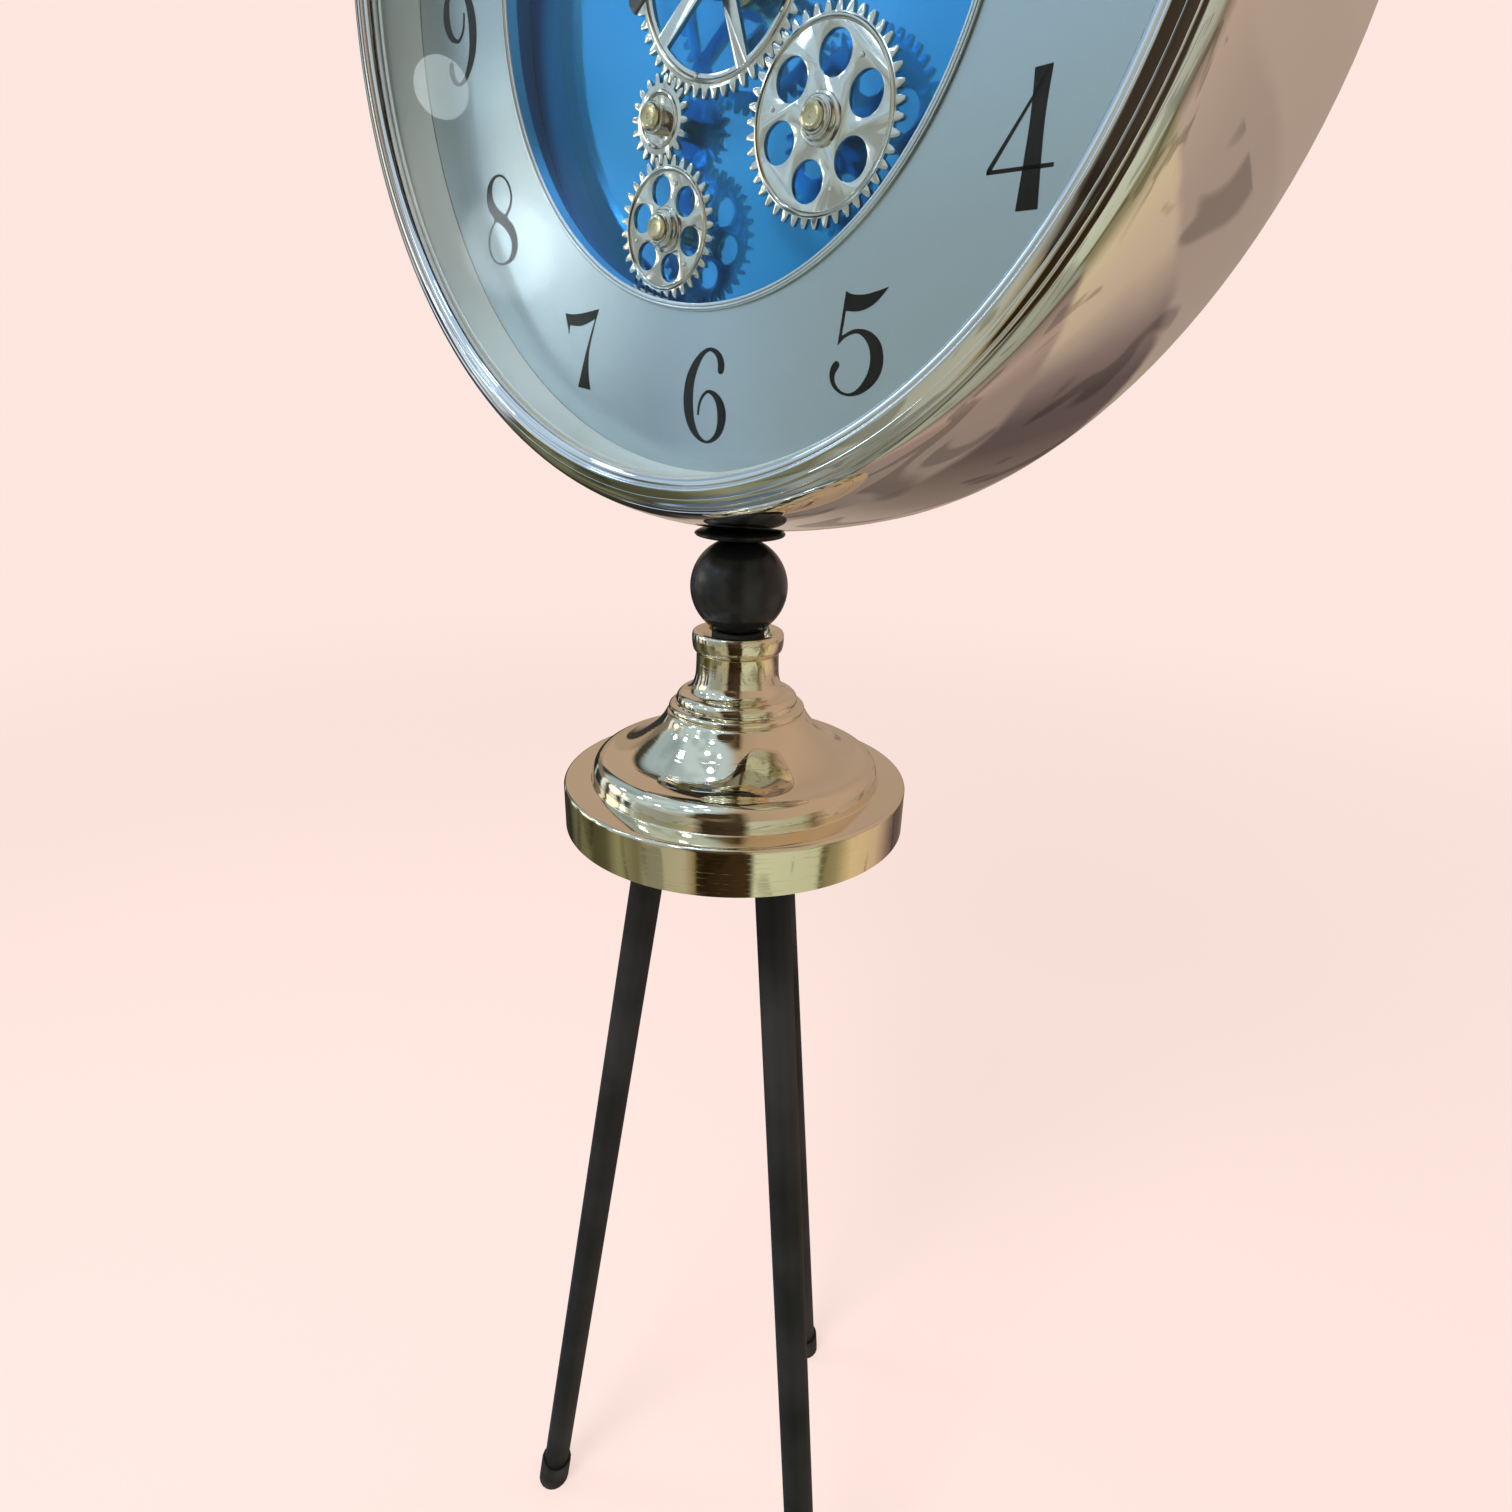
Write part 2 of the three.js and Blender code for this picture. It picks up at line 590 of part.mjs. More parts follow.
// Bezel: a crowned ring on the case's front edge, with a skirt inside the opening that holds the glass
const bezelBack = CASE_FRONT + SEAT;
const skirtOuter = flangeRadius - SEAT;
const skirtInner = skirtOuter - SKIRT_WALL;
const dialRadius = skirtInner - DIAL_MARGIN;
const glassFront = bezelBack - SEAT;
const glassBack = glassFront - GLASS_THICKNESS;
const gasketFront = glassBack - SEAT;
const gasketBack = gasketFront - GASKET_THICKNESS;
const reflectorFront = gasketBack - SEAT;

function makeBezel() {
  const crown = (bezelInner + bezelOuter) / 2 - 1;
  const path = new THREE.Path();
  path.moveTo(bezelInner, bezelBack);
  path.quadraticCurveTo(bezelInner + 1, bezelBack + BEZEL_RISE, crown, bezelBack + BEZEL_RISE);
  path.quadraticCurveTo(bezelOuter - 0.6, bezelBack + BEZEL_RISE, bezelOuter, bezelBack + 1);
  path.lineTo(bezelOuter, bezelBack);
  path.lineTo(skirtOuter, bezelBack);
  path.lineTo(skirtOuter, bezelBack - SKIRT_LENGTH);
  path.lineTo(skirtInner, bezelBack - SKIRT_LENGTH);
  path.lineTo(skirtInner, bezelBack);
  return named("bezel", turned(pairsOf(path, 2)), CHROME);
}

function makeGlassParts() {
  const edge = skirtInner - SEAT;
  const reflectorInner = dialRadius + SEAT;
  const taper = 0.6;
  const reflector = [
    [reflectorInner, carrierFront + SEAT],
    [reflectorInner + REFLECTOR_WALL, carrierFront + SEAT],
    [reflectorInner + REFLECTOR_WALL + taper, reflectorFront],
    [reflectorInner + taper, reflectorFront],
  ];
  return [
    named("front_glass", disc(edge, glassBack, glassFront, RIM_STEPS), GLASS),
    named("glass_gasket", ring(edge - GASKET_WIDTH, edge, gasketBack, gasketFront), RUBBER),
    named("reflector_ring", turned(reflector), ALUMINIUM),
  ];
}

const trimOuter = WINDOW_RADIUS + TRIM_WIDTH;
const trimTube = WINDOW_RADIUS + TRIM_WALL;

function makeDialParts() {
  const step = TRIM_HEIGHT - 1;
  const trim = [
    [WINDOW_RADIUS, -TRIM_DEPTH],
    [WINDOW_RADIUS, step],
    [trimTube, step],
    [trimTube, TRIM_HEIGHT],
    [trimOuter, TRIM_HEIGHT],
    [trimOuter, SEAT],
    [trimTube, SEAT],
    [trimTube, -TRIM_DEPTH],
  ];
  const carrierOuter = innerWall(carrierFront) - 2 * SEAT;
  return [
    named("dial_ring", ring(trimTube + SEAT, dialRadius, -DIAL_THICKNESS, 0), ALUMINIUM),
    named("window_trim", turned(trim), ALUMINIUM),
    named("dial_carrier", ring(trimTube + SEAT, carrierOuter, carrierBack, carrierFront), BLACK_BOARD),
    named("well_ring", ring(wellRadius, wellRadius + WELL_WALL, wellBack, wellFront), BLACK_BOARD),
  ];
}

// Gear train: every wheel's place and starting turn follows from the tooth counts
const pitchRadius = (teeth) => (GEAR_MODULE * teeth) / 2;
const rootRadius = (teeth) => pitchRadius(teeth) - DEDENDUM * GEAR_MODULE;
const tipRadius = (teeth) => pitchRadius(teeth) + ADDENDUM * GEAR_MODULE;
const wheelBack = WHEEL_FRONT - WHEEL_FACE;
const meshReach = (a, b) => pitchRadius(a) + pitchRadius(b);

// Half the angle that an involute tooth spans at a radius.
function toothHalfAngle(teeth, radius) {
  const pitch = pitchRadius(teeth);
  const base = pitch * Math.cos(radians(PRESSURE_ANGLE));
  const involute = (r) => {
    const angle = Math.acos(Math.min(1, base / r));
    return Math.tan(angle) - angle;
  };
  const atPitch = Math.PI / (2 * teeth) - BACKLASH / (4 * pitch);
  return atPitch + involute(pitch) - involute(radius);
}

function gearShape(teeth, turn) {
  const radii = [rootRadius(teeth), tipRadius(teeth)];
  const rising = radii.map((radius) => [radius, -toothHalfAngle(teeth, radius)]);
  const falling = rising.map(([radius, half]) => [radius, -half]).reverse();
  const points = [];
  for (let tooth = 0; tooth < teeth; tooth++) {
    const middle = turn + (2 * Math.PI * tooth) / teeth;
    for (const [radius, offset] of [...rising, ...falling]) {
      const angle = middle + offset;
      points.push(new THREE.Vector2(radius * Math.cos(angle), radius * Math.sin(angle)));
    }
  }
  return new THREE.Shape(points);
}

// Turn of a wheel that meshes with a neighbour, seen from the neighbour in a direction.
function meshTurn(teeth, neighbourTeeth, neighbourTurn, direction) {
  const shift = (neighbourTurn - direction) * (neighbourTeeth / teeth);
  return direction + Math.PI + Math.PI / teeth - shift;
}

const towards = (from, to) => Math.atan2(to.y - from.y, to.x - from.x);
const clockCentre = new THREE.Vector2(0, 0);
const lowerPlace = polar(LOWER_REACH, LOWER_BEARING);
const rightPlace = polar(meshReach(CENTRE_TEETH, RIGHT_TEETH), RIGHT_BEARING);
const upperPlace = polar(meshReach(CENTRE_TEETH, UPPER_TEETH), UPPER_BEARING);
const pinionPlace = polar(meshReach(CENTRE_TEETH, PINION_TEETH), PINION_BEARING);

// The idler touches both the centre wheel and the lower wheel, on the side away from the right wheel.
function placeIdler() {
  const toCentre = meshReach(CENTRE_TEETH, IDLER_TEETH);
  const toLower = meshReach(LOWER_TEETH, IDLER_TEETH);
  const along = (toCentre ** 2 - toLower ** 2 + LOWER_REACH ** 2) / (2 * LOWER_REACH);
  const aside = -Math.sqrt(toCentre ** 2 - along ** 2);
  const direction = lowerPlace.clone().normalize();
  return new THREE.Vector2(
    direction.x * along - direction.y * aside,
    direction.y * along + direction.x * aside,
  );
}
const idlerPlace = placeIdler();

const centreTurn = 0;
const meshWithCentre = (teeth, place) =>
  meshTurn(teeth, CENTRE_TEETH, centreTurn, towards(clockCentre, place));
const idlerTurn = meshWithCentre(IDLER_TEETH, idlerPlace);
const rightTurn = meshWithCentre(RIGHT_TEETH, rightPlace);
const upperTurn = meshWithCentre(UPPER_TEETH, upperPlace);
const lowerTurn = meshTurn(LOWER_TEETH, IDLER_TEETH, idlerTurn, towards(idlerPlace, lowerPlace));

// Round windows between the hub and the rim.
function lighteningHoles(count, circle, radius, firstDegrees) {
  return Array.from({ length: count }, (_, i) => {
    const place = polar(circle, firstDegrees + (360 * i) / count);
    return roundHole(radius, place.x, place.y);
  });
}

// Spoke windows between two circles, as closed paths with straight spoke sides.
function spokeWindows(count, inner, outer, spokeWidth) {
  return Array.from({ length: count }, (_, i) => {
    const middle = (2 * Math.PI * (i + 0.5)) / count;
    const half = (radius) => Math.PI / count - Math.asin(spokeWidth / 2 / radius);
    const window = new THREE.Path();
    window.absarc(0, 0, outer, middle - half(outer), middle + half(outer), false);
    window.absarc(0, 0, inner, middle + half(inner), middle - half(inner), true);
    window.closePath();
    return window;
  });
}

// A toothed wheel in front of wheelBack, with a hub joined to it and a bore through both.
function wheelSolid(teeth, turn, bore, holes, hub) {
  const shape = gearShape(teeth, turn);
  shape.holes.push(...holes);
  const wheel = toSolid(plate(shape, wheelBack, WHEEL_FACE, WINDOW_STEPS));
  const hole = toSolid(disc(bore, 2 * wheelBack, -wheelBack));
  return wheel.add(toSolid(turned(hub, SMALL_STEPS))).subtract(hole);
}

const hubBack = wheelBack - 1;
const hubFront = WHEEL_FRONT + HUB_FRONT;

function stepHub() {
  return [
    [0, hubBack],
    [HUB_RADIUS + HUB_STEP, hubBack],
    [HUB_RADIUS + HUB_STEP, WHEEL_FRONT + HUB_STEP],
    [HUB_RADIUS, WHEEL_FRONT + HUB_STEP],
    [HUB_RADIUS, hubFront - HUB_STEP],
    [HUB_RADIUS - HUB_STEP, hubFront - HUB_STEP],
    [HUB_RADIUS - HUB_STEP, hubFront],
    [0, hubFront],
  ];
}

const plainHub = (radius) => [[0, hubBack], [radius, hubBack], [radius, hubFront], [0, hubFront]];

function makePostWheel(name, teeth, turn, place, holes) {
  const bore = POST_RADIUS + RUNNING;
  const hub = holes.length ? stepHub() : plainHub(HUB_RADIUS - HUB_STEP);
  const wheel = named(name, wheelSolid(teeth, turn, bore, holes, hub), NICKEL);
  wheel.position.set(place.x, place.y, 0);
  return wheel;
}

// A shouldered post on the back plate: the wheel turns on its pin, under its head.
function makePost(name, place) {
  const headBack = hubFront + SEAT;
  const profile = [
    [0, backPlateFront + SEAT],
    [POST_FOOT_RADIUS, backPlateFront + SEAT],
    [POST_FOOT_RADIUS, hubBack - SEAT],
    [POST_RADIUS, hubBack - SEAT],
    [POST_RADIUS, headBack],
    [HUB_RADIUS - HUB_STEP - 1, headBack],
    [HUB_RADIUS - HUB_STEP - 2, headBack + POST_HEAD],
    [0, headBack + POST_HEAD],
  ];
  const post = named(name, turned(profile, SMALL_STEPS), BRASS);
  post.position.set(place.x, place.y, 0);
  return post;
}

// Centre arbor, from the inside out
const tubeInner = ARBOR_RADIUS + RUNNING;
const tubeOuter = tubeInner + TUBE_WALL;
const bushingInner = tubeOuter + RUNNING;
const bushingOuter = bushingInner + BUSHING_WALL;
const bearingInner = bushingOuter + SEAT;
const bearingOuter = bearingInner + BEARING_WALL;
const collarBack = hubFront + SEAT;
const bearingFront = collarBack + COLLAR_THICKNESS + SEAT;
const bushNutBack = bearingFront + SEAT;
const bushNutThickness = 3;
const bushingFront = bushNutBack + bushNutThickness + 1.5;
const hourHandBack = HOUR_HAND_HEIGHT;
const minuteHandBack = hourHandBack + HAND_THICKNESS + HAND_STEP;
const handNutBack = minuteHandBack + HAND_THICKNESS + SEAT;

function makeCentreParts() {
  const shoulder = bearingOuter + BEARING_SHOULDER;
  const flangeBack = backPlateFront + SEAT;
  const bearing = [
    [bearingInner, flangeBack],
    [BEARING_flangeRadius, flangeBack],
    [BEARING_flangeRadius, flangeBack + BEARING_FLANGE_THICKNESS],
    [shoulder, flangeBack + BEARING_FLANGE_THICKNESS],
    [shoulder, hubBack - SEAT],
    [bearingOuter, hubBack - SEAT],
    [bearingOuter, bearingFront],
    [bearingInner, bearingFront],
  ];
  const bore = bearingOuter + RUNNING;
  const rimWindow = rootRadius(CENTRE_TEETH) - 6;
  const windows = spokeWindows(5, shoulder + 7, rimWindow, 8);
  const hub = plainHub(shoulder + 3);
  const collarInner = bearingOuter + SEAT;
  const collar = ring(collarInner, collarInner + COLLAR_WIDTH, collarBack, collarBack + COLLAR_THICKNESS, 16);
  const nut = hexagon(bearingOuter + 0.5, bushingOuter + SEAT);
  return [
    named("centre_bearing", turned(bearing, 16), BRASS),
    named("centre_wheel", wheelSolid(CENTRE_TEETH, centreTurn, bore, windows, hub), NICKEL),
    named("bearing_collar", collar, BRASS),
    named("bushing_nut", plate(nut, bushNutBack, bushNutThickness), BRASS),
  ];
}

function makeMotorParts() {
  const shaftEnd = backPlateBack - MOTOR_LENGTH / 2;
  const shaft = toSolid(disc(PINION_SHAFT_RADIUS, shaftEnd, WHEEL_FRONT + 1));
  const shape = gearShape(PINION_TEETH, meshWithCentre(PINION_TEETH, pinionPlace));
  const pinion = named("motor_pinion", toSolid(plate(shape, wheelBack, WHEEL_FACE)).add(shaft), BRASS);
  pinion.position.set(pinionPlace.x, pinionPlace.y, 0);
  const front = backPlateBack - SEAT;
  const can = [
    [0, front - MOTOR_LENGTH],
    [MOTOR_RADIUS - 2, front - MOTOR_LENGTH],
    [MOTOR_RADIUS, front - MOTOR_LENGTH + 2],
    [MOTOR_RADIUS, front],
    [PINION_SHAFT_RADIUS + RUNNING, front],
    [PINION_SHAFT_RADIUS + RUNNING, shaftEnd - SEAT],
    [0, shaftEnd - SEAT],
  ];
  const motor = named("gear_motor", turned(can, 16), STEEL);
  motor.position.set(pinionPlace.x, pinionPlace.y, 0);
  return [pinion, motor];
}

function makeBackPlate() {
  const blank = toSolid(ring(bushingOuter + SEAT, backPlateRadius, backPlateBack, backPlateFront));
  return named("back_plate", drilled(blank, PINION_SHAFT_RADIUS + 2 * RUNNING, [pinionPlace]), BLUE_PLATE);
}

// Movement: a box behind the back plate with a long threaded bushing and a battery bay open to the rear
const movementFront = backPlateBack - SEAT;
const movementBack = movementFront - MOVEMENT_DEPTH;
const arborEnd = -16;

function makeMovement() {
  const corner = 4;
  const half = MOVEMENT_SIDE / 2;
  const shape = new THREE.Shape();
  shape.absarc(half - corner, half - corner, corner, 0, Math.PI / 2, false);
  shape.absarc(corner - half, half - corner, corner, Math.PI / 2, Math.PI, false);
  shape.absarc(corner - half, corner - half, corner, Math.PI, 1.5 * Math.PI, false);
  shape.absarc(half - corner, corner - half, corner, 1.5 * Math.PI, 2 * Math.PI, false);
  const box = plate(shape, movementBack, MOVEMENT_DEPTH, WINDOW_STEPS);
  const bayWidth = BATTERY_LENGTH + 2 * RUNNING;
  const bayHeight = 2 * (BATTERY_RADIUS + RUNNING);
  const bay = new THREE.BoxGeometry(bayWidth, bayHeight, bayHeight);
  bay.translate(0, -BATTERY_DROP, movementBack + bayHeight / 2 - 1);
  const knobBore = disc(KNOB_SHAFT_RADIUS + RUNNING, movementBack - 1, movementBack + 8);
  const arborBore = disc(bushingInner, arborEnd - SEAT, bushingFront + 1);
  const solid = toSolid(box)
    .add(toSolid(disc(bushingOuter, movementFront - 1, bushingFront)))
    .subtract(toSolid(bay))
    .subtract(toSolid(knobBore.translate(0, KNOB_RISE, 0)))
    .subtract(toSolid(arborBore));
  return named("movement_case", solid, BLACK_PLASTIC);
}

function makeMovementParts() {
  const half = BATTERY_LENGTH / 2;
  const cell = [
    [0, -half],
    [BATTERY_RADIUS, -half],
    [BATTERY_RADIUS, half - 1.5],
    [BATTERY_RADIUS - 4, half - 1.5],
    [BATTERY_RADIUS - 4, half],
    [0, half],
  ];
  const battery = named("battery_cell", turned(cell, SMALL_STEPS).rotateY(Math.PI / 2), GREEN_SLEEVE);
  const bayFloor = movementBack + 2 * (BATTERY_RADIUS + RUNNING) - 1;
  battery.position.set(0, -BATTERY_DROP, bayFloor - SEAT - BATTERY_RADIUS);
  const knobFront = movementBack - SEAT;
  const flutes = new THREE.Shape();
  const fluteCount = 14;
  for (let i = 0; i < 2 * fluteCount; i++) {
    const corner = polar(KNOB_RADIUS - (i % 2) * 0.9, (180 * i) / fluteCount);
    if (i === 0) flutes.moveTo(corner.x, corner.y);
    else flutes.lineTo(corner.x, corner.y);
  }
  const grip = toSolid(plate(flutes, knobFront - KNOB_THICKNESS, KNOB_THICKNESS));
  const stub = toSolid(disc(KNOB_SHAFT_RADIUS, knobFront - 1, movementBack + 7));
  const knob = named("set_knob", grip.add(stub), BLACK_PLASTIC);
  knob.position.set(0, KNOB_RISE, 0);
  return [battery, knob];
}

// A leaf-shaped hand that points up, with a round boss and a short tail.
function handShape(length, width, tail, bore) {
  const shape = new THREE.Shape();
  const neckHalf = HAND_NECK_WIDTH / 2;
  const tailHalf = HAND_TAIL_WIDTH / 2;
  const neck = Math.asin(neckHalf / HAND_BOSS_RADIUS);
  const wide = length * 0.62;
  const up = Math.PI / 2;
  const start = HAND_BOSS_RADIUS * Math.cos(neck);
  shape.absarc(0, 0, HAND_BOSS_RADIUS, up + neck, -up - neck, false);
  shape.lineTo(-tailHalf, -tail);
  shape.quadraticCurveTo(0, -tail - HAND_TAIL_ROUND, tailHalf, -tail);
  shape.absarc(0, 0, HAND_BOSS_RADIUS, -up + neck, up - neck, false);
  shape.quadraticCurveTo(neckHalf, (start + wide) / 2, width / 2, wide);
  shape.quadraticCurveTo(width / 3, (wide + length) / 2, 0, length);
  shape.quadraticCurveTo(-width / 3, (wide + length) / 2, -width / 2, wide);
  shape.quadraticCurveTo(-neckHalf, (start + wide) / 2, -neckHalf, start);
  shape.holes.push(roundHole(bore));
  return shape;
}

function makeHands() {
  const [hours, minutes] = HANDS_AT;
  const hourTurn = -radians(30 * hours + minutes / 2);
  const minuteTurn = -radians(6 * minutes);
  const hourShape = handShape(HOUR_HAND_LENGTH, HOUR_HAND_WIDTH, HAND_TAIL * 0.7, tubeOuter + SEAT);
  const minuteShape = handShape(MINUTE_HAND_LENGTH, MINUTE_HAND_WIDTH, HAND_TAIL, ARBOR_RADIUS + SEAT);
  const hourHand = named(
    "hour_hand",
    plate(hourShape, hourHandBack, HAND_THICKNESS, WINDOW_STEPS),
    BLACK_SATIN,
  );
  hourHand.rotation.z = hourTurn;
  const minuteHand = named(
    "minute_hand",
    plate(minuteShape, minuteHandBack, HAND_THICKNESS, WINDOW_STEPS),
    BLACK_SATIN,
  );
  minuteHand.rotation.z = minuteTurn;
  const nutTop = handNutBack + 4;
  const arborFront = nutTop - 1;
  const nut = [
    [ARBOR_RADIUS + SEAT, handNutBack],
    [6.5, handNutBack],
    [6, nutTop - 1],
    [4, nutTop],
    [ARBOR_RADIUS + SEAT, nutTop],
  ];
  const tubeFront = hourHandBack + HAND_THICKNESS + 1;
  return [
    named("hour_tube", ring(tubeInner, tubeOuter, arborEnd + 3, tubeFront, SMALL_STEPS), BRASS),
    named("minute_arbor", disc(ARBOR_RADIUS, arborEnd, arborFront), BRASS),
    hourHand,
    minuteHand,
    named("hand_nut", turned(nut, SMALL_STEPS), BRASS),
  ];
}

// Rear cover, in the recess of the case's rear rim, with a pull-off door over the movement
const coverFront = recessFloor - SEAT;
const coverBack = coverFront - COVER_THICKNESS;
const screwCircle = rimInner - COVER_LIP / 2;

function screwPlaces() {
  return Array.from({ length: SCREW_COUNT }, (_, i) => polar(screwCircle, 45 + (360 * i) / SCREW_COUNT));
}

function makeRearParts() {
  const blank = toSolid(disc(rimInner - SEAT, coverBack, coverFront, RIM_STEPS));
  const opening = toSolid(plate(rectangle(DOOR_WIDTH, DOOR_HEIGHT), coverBack - 1, COVER_THICKNESS + 2));
  const cover = drilled(blank.subtract(opening), SCREW_RADIUS + SEAT, screwPlaces());
  const gap = 2 * SEAT;
  const door = rectangle(DOOR_WIDTH - gap, DOOR_HEIGHT - gap);
  const slot = rectangle(SLOT_WIDTH, SLOT_HEIGHT).getPoints().reverse();
  slot.forEach((corner) => (corner.y += DOOR_HEIGHT / 2 - SLOT_DROP));
  door.holes.push(new THREE.Path(slot));
  const screwProfile = [
    [0, coverFront + SEAT + CASE_WALL],
    [SCREW_RADIUS, coverFront + SEAT + CASE_WALL],
    [SCREW_RADIUS, coverBack - SEAT],
    [SCREW_HEAD_RADIUS, coverBack - SEAT],
    [SCREW_HEAD_RADIUS - 1, coverBack - SEAT - SCREW_HEAD],
    [0, coverBack - SEAT - SCREW_HEAD],
  ];
  const screws = screwPlaces().map((place, i) => {
    const screw = named("cover_screw_" + (i + 1), turned(screwProfile, 12), STEEL);
    screw.position.set(place.x, place.y, 0);
    return screw;
  });
  return [
    named("rear_cover", cover, BLACK_BOARD),
    named("service_door", plate(door, coverBack, COVER_THICKNESS), BLACK_BOARD),
    ...screws,
  ];
}

function makeGearTrain() {
  const lowerHoles = lighteningHoles(6, 19.4, 7.4, 39);
  const rightHoles = lighteningHoles(6, 26, 9.5, 15);
  const upperHoles = lighteningHoles(6, 22, 8, 0);
  return [
    makePostWheel("lower_wheel", LOWER_TEETH, lowerTurn, lowerPlace, lowerHoles),
    makePostWheel("right_wheel", RIGHT_TEETH, rightTurn, rightPlace, rightHoles),
    makePostWheel("upper_wheel", UPPER_TEETH, upperTurn, upperPlace, upperHoles),
    makePostWheel("idler_wheel", IDLER_TEETH, idlerTurn, idlerPlace, []),
    makePost("lower_post", lowerPlace),
    makePost("right_post", rightPlace),
    makePost("upper_post", upperPlace),
    makePost("idler_post", idlerPlace),
  ];
}

function makeStand() {
  const stand = new THREE.Group();
  stand.add(makePedestal(), makeLegPlate());
  LEG_NAMES.forEach((_, index) => stand.add(makeLeg(index), makeFoot(index)));
  stand.add(makeBallSeat(), makeBall(), makeNeckWasher(), makeSaddlePad());
  stand.add(makeClampBlock(), ...makeRodParts());
  return stand;
}

function makeHead() {
  return onHead(
    makeCaseShell(),
    makeBezel(),
    ...makeGlassParts(),
    ...makeDialParts(),
    makeBackPlate(),
    ...makeCentreParts(),
    ...makeGearTrain(),
    ...makeMotorParts(),
    makeMovement(),
    ...makeMovementParts(),
    ...makeHands(),
    ...makeRearParts(),
  );
}

const clock = new THREE.Group();
clock.add(makeStand(), makeHead());
clock.updateMatrixWorld(true);
const bounds = new THREE.Box3().setFromObject(clock, true);
const middle = bounds.getCenter(new THREE.Vector3());
clock.position.set(-middle.x, -middle.y, -bounds.min.z);

export default clock;
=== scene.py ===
"""Looks of a round floor clock: chrome case, brushed dial, open gear train, turned pedestal."""

import json
import math

import bpy
from mathutils import Matrix, Vector

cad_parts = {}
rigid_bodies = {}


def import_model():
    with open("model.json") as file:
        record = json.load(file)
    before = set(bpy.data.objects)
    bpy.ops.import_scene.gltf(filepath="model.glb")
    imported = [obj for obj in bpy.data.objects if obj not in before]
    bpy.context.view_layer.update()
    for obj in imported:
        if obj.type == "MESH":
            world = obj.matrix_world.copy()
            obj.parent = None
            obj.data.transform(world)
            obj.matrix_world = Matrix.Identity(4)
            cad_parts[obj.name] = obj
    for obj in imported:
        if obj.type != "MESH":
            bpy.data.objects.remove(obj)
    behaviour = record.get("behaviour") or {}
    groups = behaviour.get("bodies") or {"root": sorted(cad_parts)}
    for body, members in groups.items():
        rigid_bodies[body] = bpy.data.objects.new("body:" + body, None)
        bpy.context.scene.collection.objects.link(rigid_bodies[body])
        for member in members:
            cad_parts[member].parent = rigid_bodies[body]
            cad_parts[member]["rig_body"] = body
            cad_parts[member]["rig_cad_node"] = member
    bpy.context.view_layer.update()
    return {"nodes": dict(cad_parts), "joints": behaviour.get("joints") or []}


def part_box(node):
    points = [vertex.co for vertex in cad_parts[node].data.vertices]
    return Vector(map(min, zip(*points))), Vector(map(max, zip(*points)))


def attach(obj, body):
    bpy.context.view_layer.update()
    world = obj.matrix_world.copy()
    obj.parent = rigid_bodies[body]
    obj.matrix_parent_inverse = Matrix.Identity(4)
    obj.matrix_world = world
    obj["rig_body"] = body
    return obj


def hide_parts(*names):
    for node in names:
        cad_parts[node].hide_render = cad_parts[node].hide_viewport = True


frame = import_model()

bl_info = {
    "name": "Floor Clock",
    "version": (1, 0, 0),
    "blender": (4, 5, 0),
    "location": "3D View > Sidebar > Floor Clock",
    "description": "Builds a round floor clock with an open gear train",
    "category": "Add Mesh",
}

MM = 0.001
BODY = "clock_body"


def node_middle(node):
    """The middle of a CAD node's box."""
    low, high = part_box(node)
    return (low + high) / 2


# Places that the CAD model gives. The dial faces -Y.
STAND = node_middle("pedestal")
BASE_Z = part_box("pedestal")[0].z
DIAL = node_middle("dial_ring")
DIAL_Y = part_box("dial_ring")[0].y
JOINT_PLACES = {joint["child"]: joint.get("pos_m") for joint in frame["joints"]}

# Turned profiles are in millimetres: a radius and a height above the pedestal's underside,
# or a radius and a distance in front of the dial face.


def colour_of(*default):
    """What every colour setting says, with its own default."""
    return {"default": default, "size": 3, "subtype": "COLOR"}


class ClockSizes(bpy.types.PropertyGroup):
    numeral_height: bpy.props.FloatProperty(
        name="Numeral height", description="Height of the figure 6", default=0.0505, unit="LENGTH"
    )
    numeral_circle: bpy.props.FloatProperty(
        name="Numeral circle", description="Radius to the numerals", default=0.2015, unit="LENGTH"
    )
    ink_thickness: bpy.props.FloatProperty(
        name="Ink thickness", description="Depth of the ink", default=0.00015, unit="LENGTH"
    )
    turning_steps: bpy.props.IntProperty(
        name="Turning steps", description="Facets round the large pieces", default=160, min=24
    )


class ClockColours(bpy.types.PropertyGroup):
    chrome: bpy.props.FloatVectorProperty(
        name="Case chrome", description="Tint of the polished case", **colour_of(0.86, 0.84, 0.82)
    )
    gold: bpy.props.FloatVectorProperty(
        name="Pedestal gold", description="Tint of the plating", **colour_of(0.87, 0.78, 0.59)
    )
    dial: bpy.props.FloatVectorProperty(
        name="Dial", description="Tint of the brushed dial", **colour_of(0.62, 0.72, 0.77)
    )
    plate: bpy.props.FloatVectorProperty(
        name="Back plate", description="Colour of the lacquer", **colour_of(0.02, 0.38, 0.88)
    )
    black: bpy.props.FloatVectorProperty(
        name="Satin black", description="Paint of legs and ball", **colour_of(0.008, 0.009, 0.009)
    )
    backdrop: bpy.props.FloatVectorProperty(
        name="Backdrop", description="Colour behind the clock", **colour_of(0.99, 0.795, 0.74)
    )


# Modelling helpers


def clear_selection():
    """Leaves edit mode and deselects everything."""
    if bpy.context.mode != "OBJECT":
        bpy.ops.object.mode_set(mode="OBJECT")
    bpy.ops.object.select_all(action="DESELECT")


def select_only(*pieces):
    """Selects the pieces and makes the first one active."""
    clear_selection()
    for piece in pieces:
        piece.select_set(True)
    bpy.context.view_layer.objects.active = pieces[0]


def name_active(name):
    """Names the active object and its mesh."""
    piece = bpy.context.active_object
    piece.name = name
    piece.data.name = name
    return piece


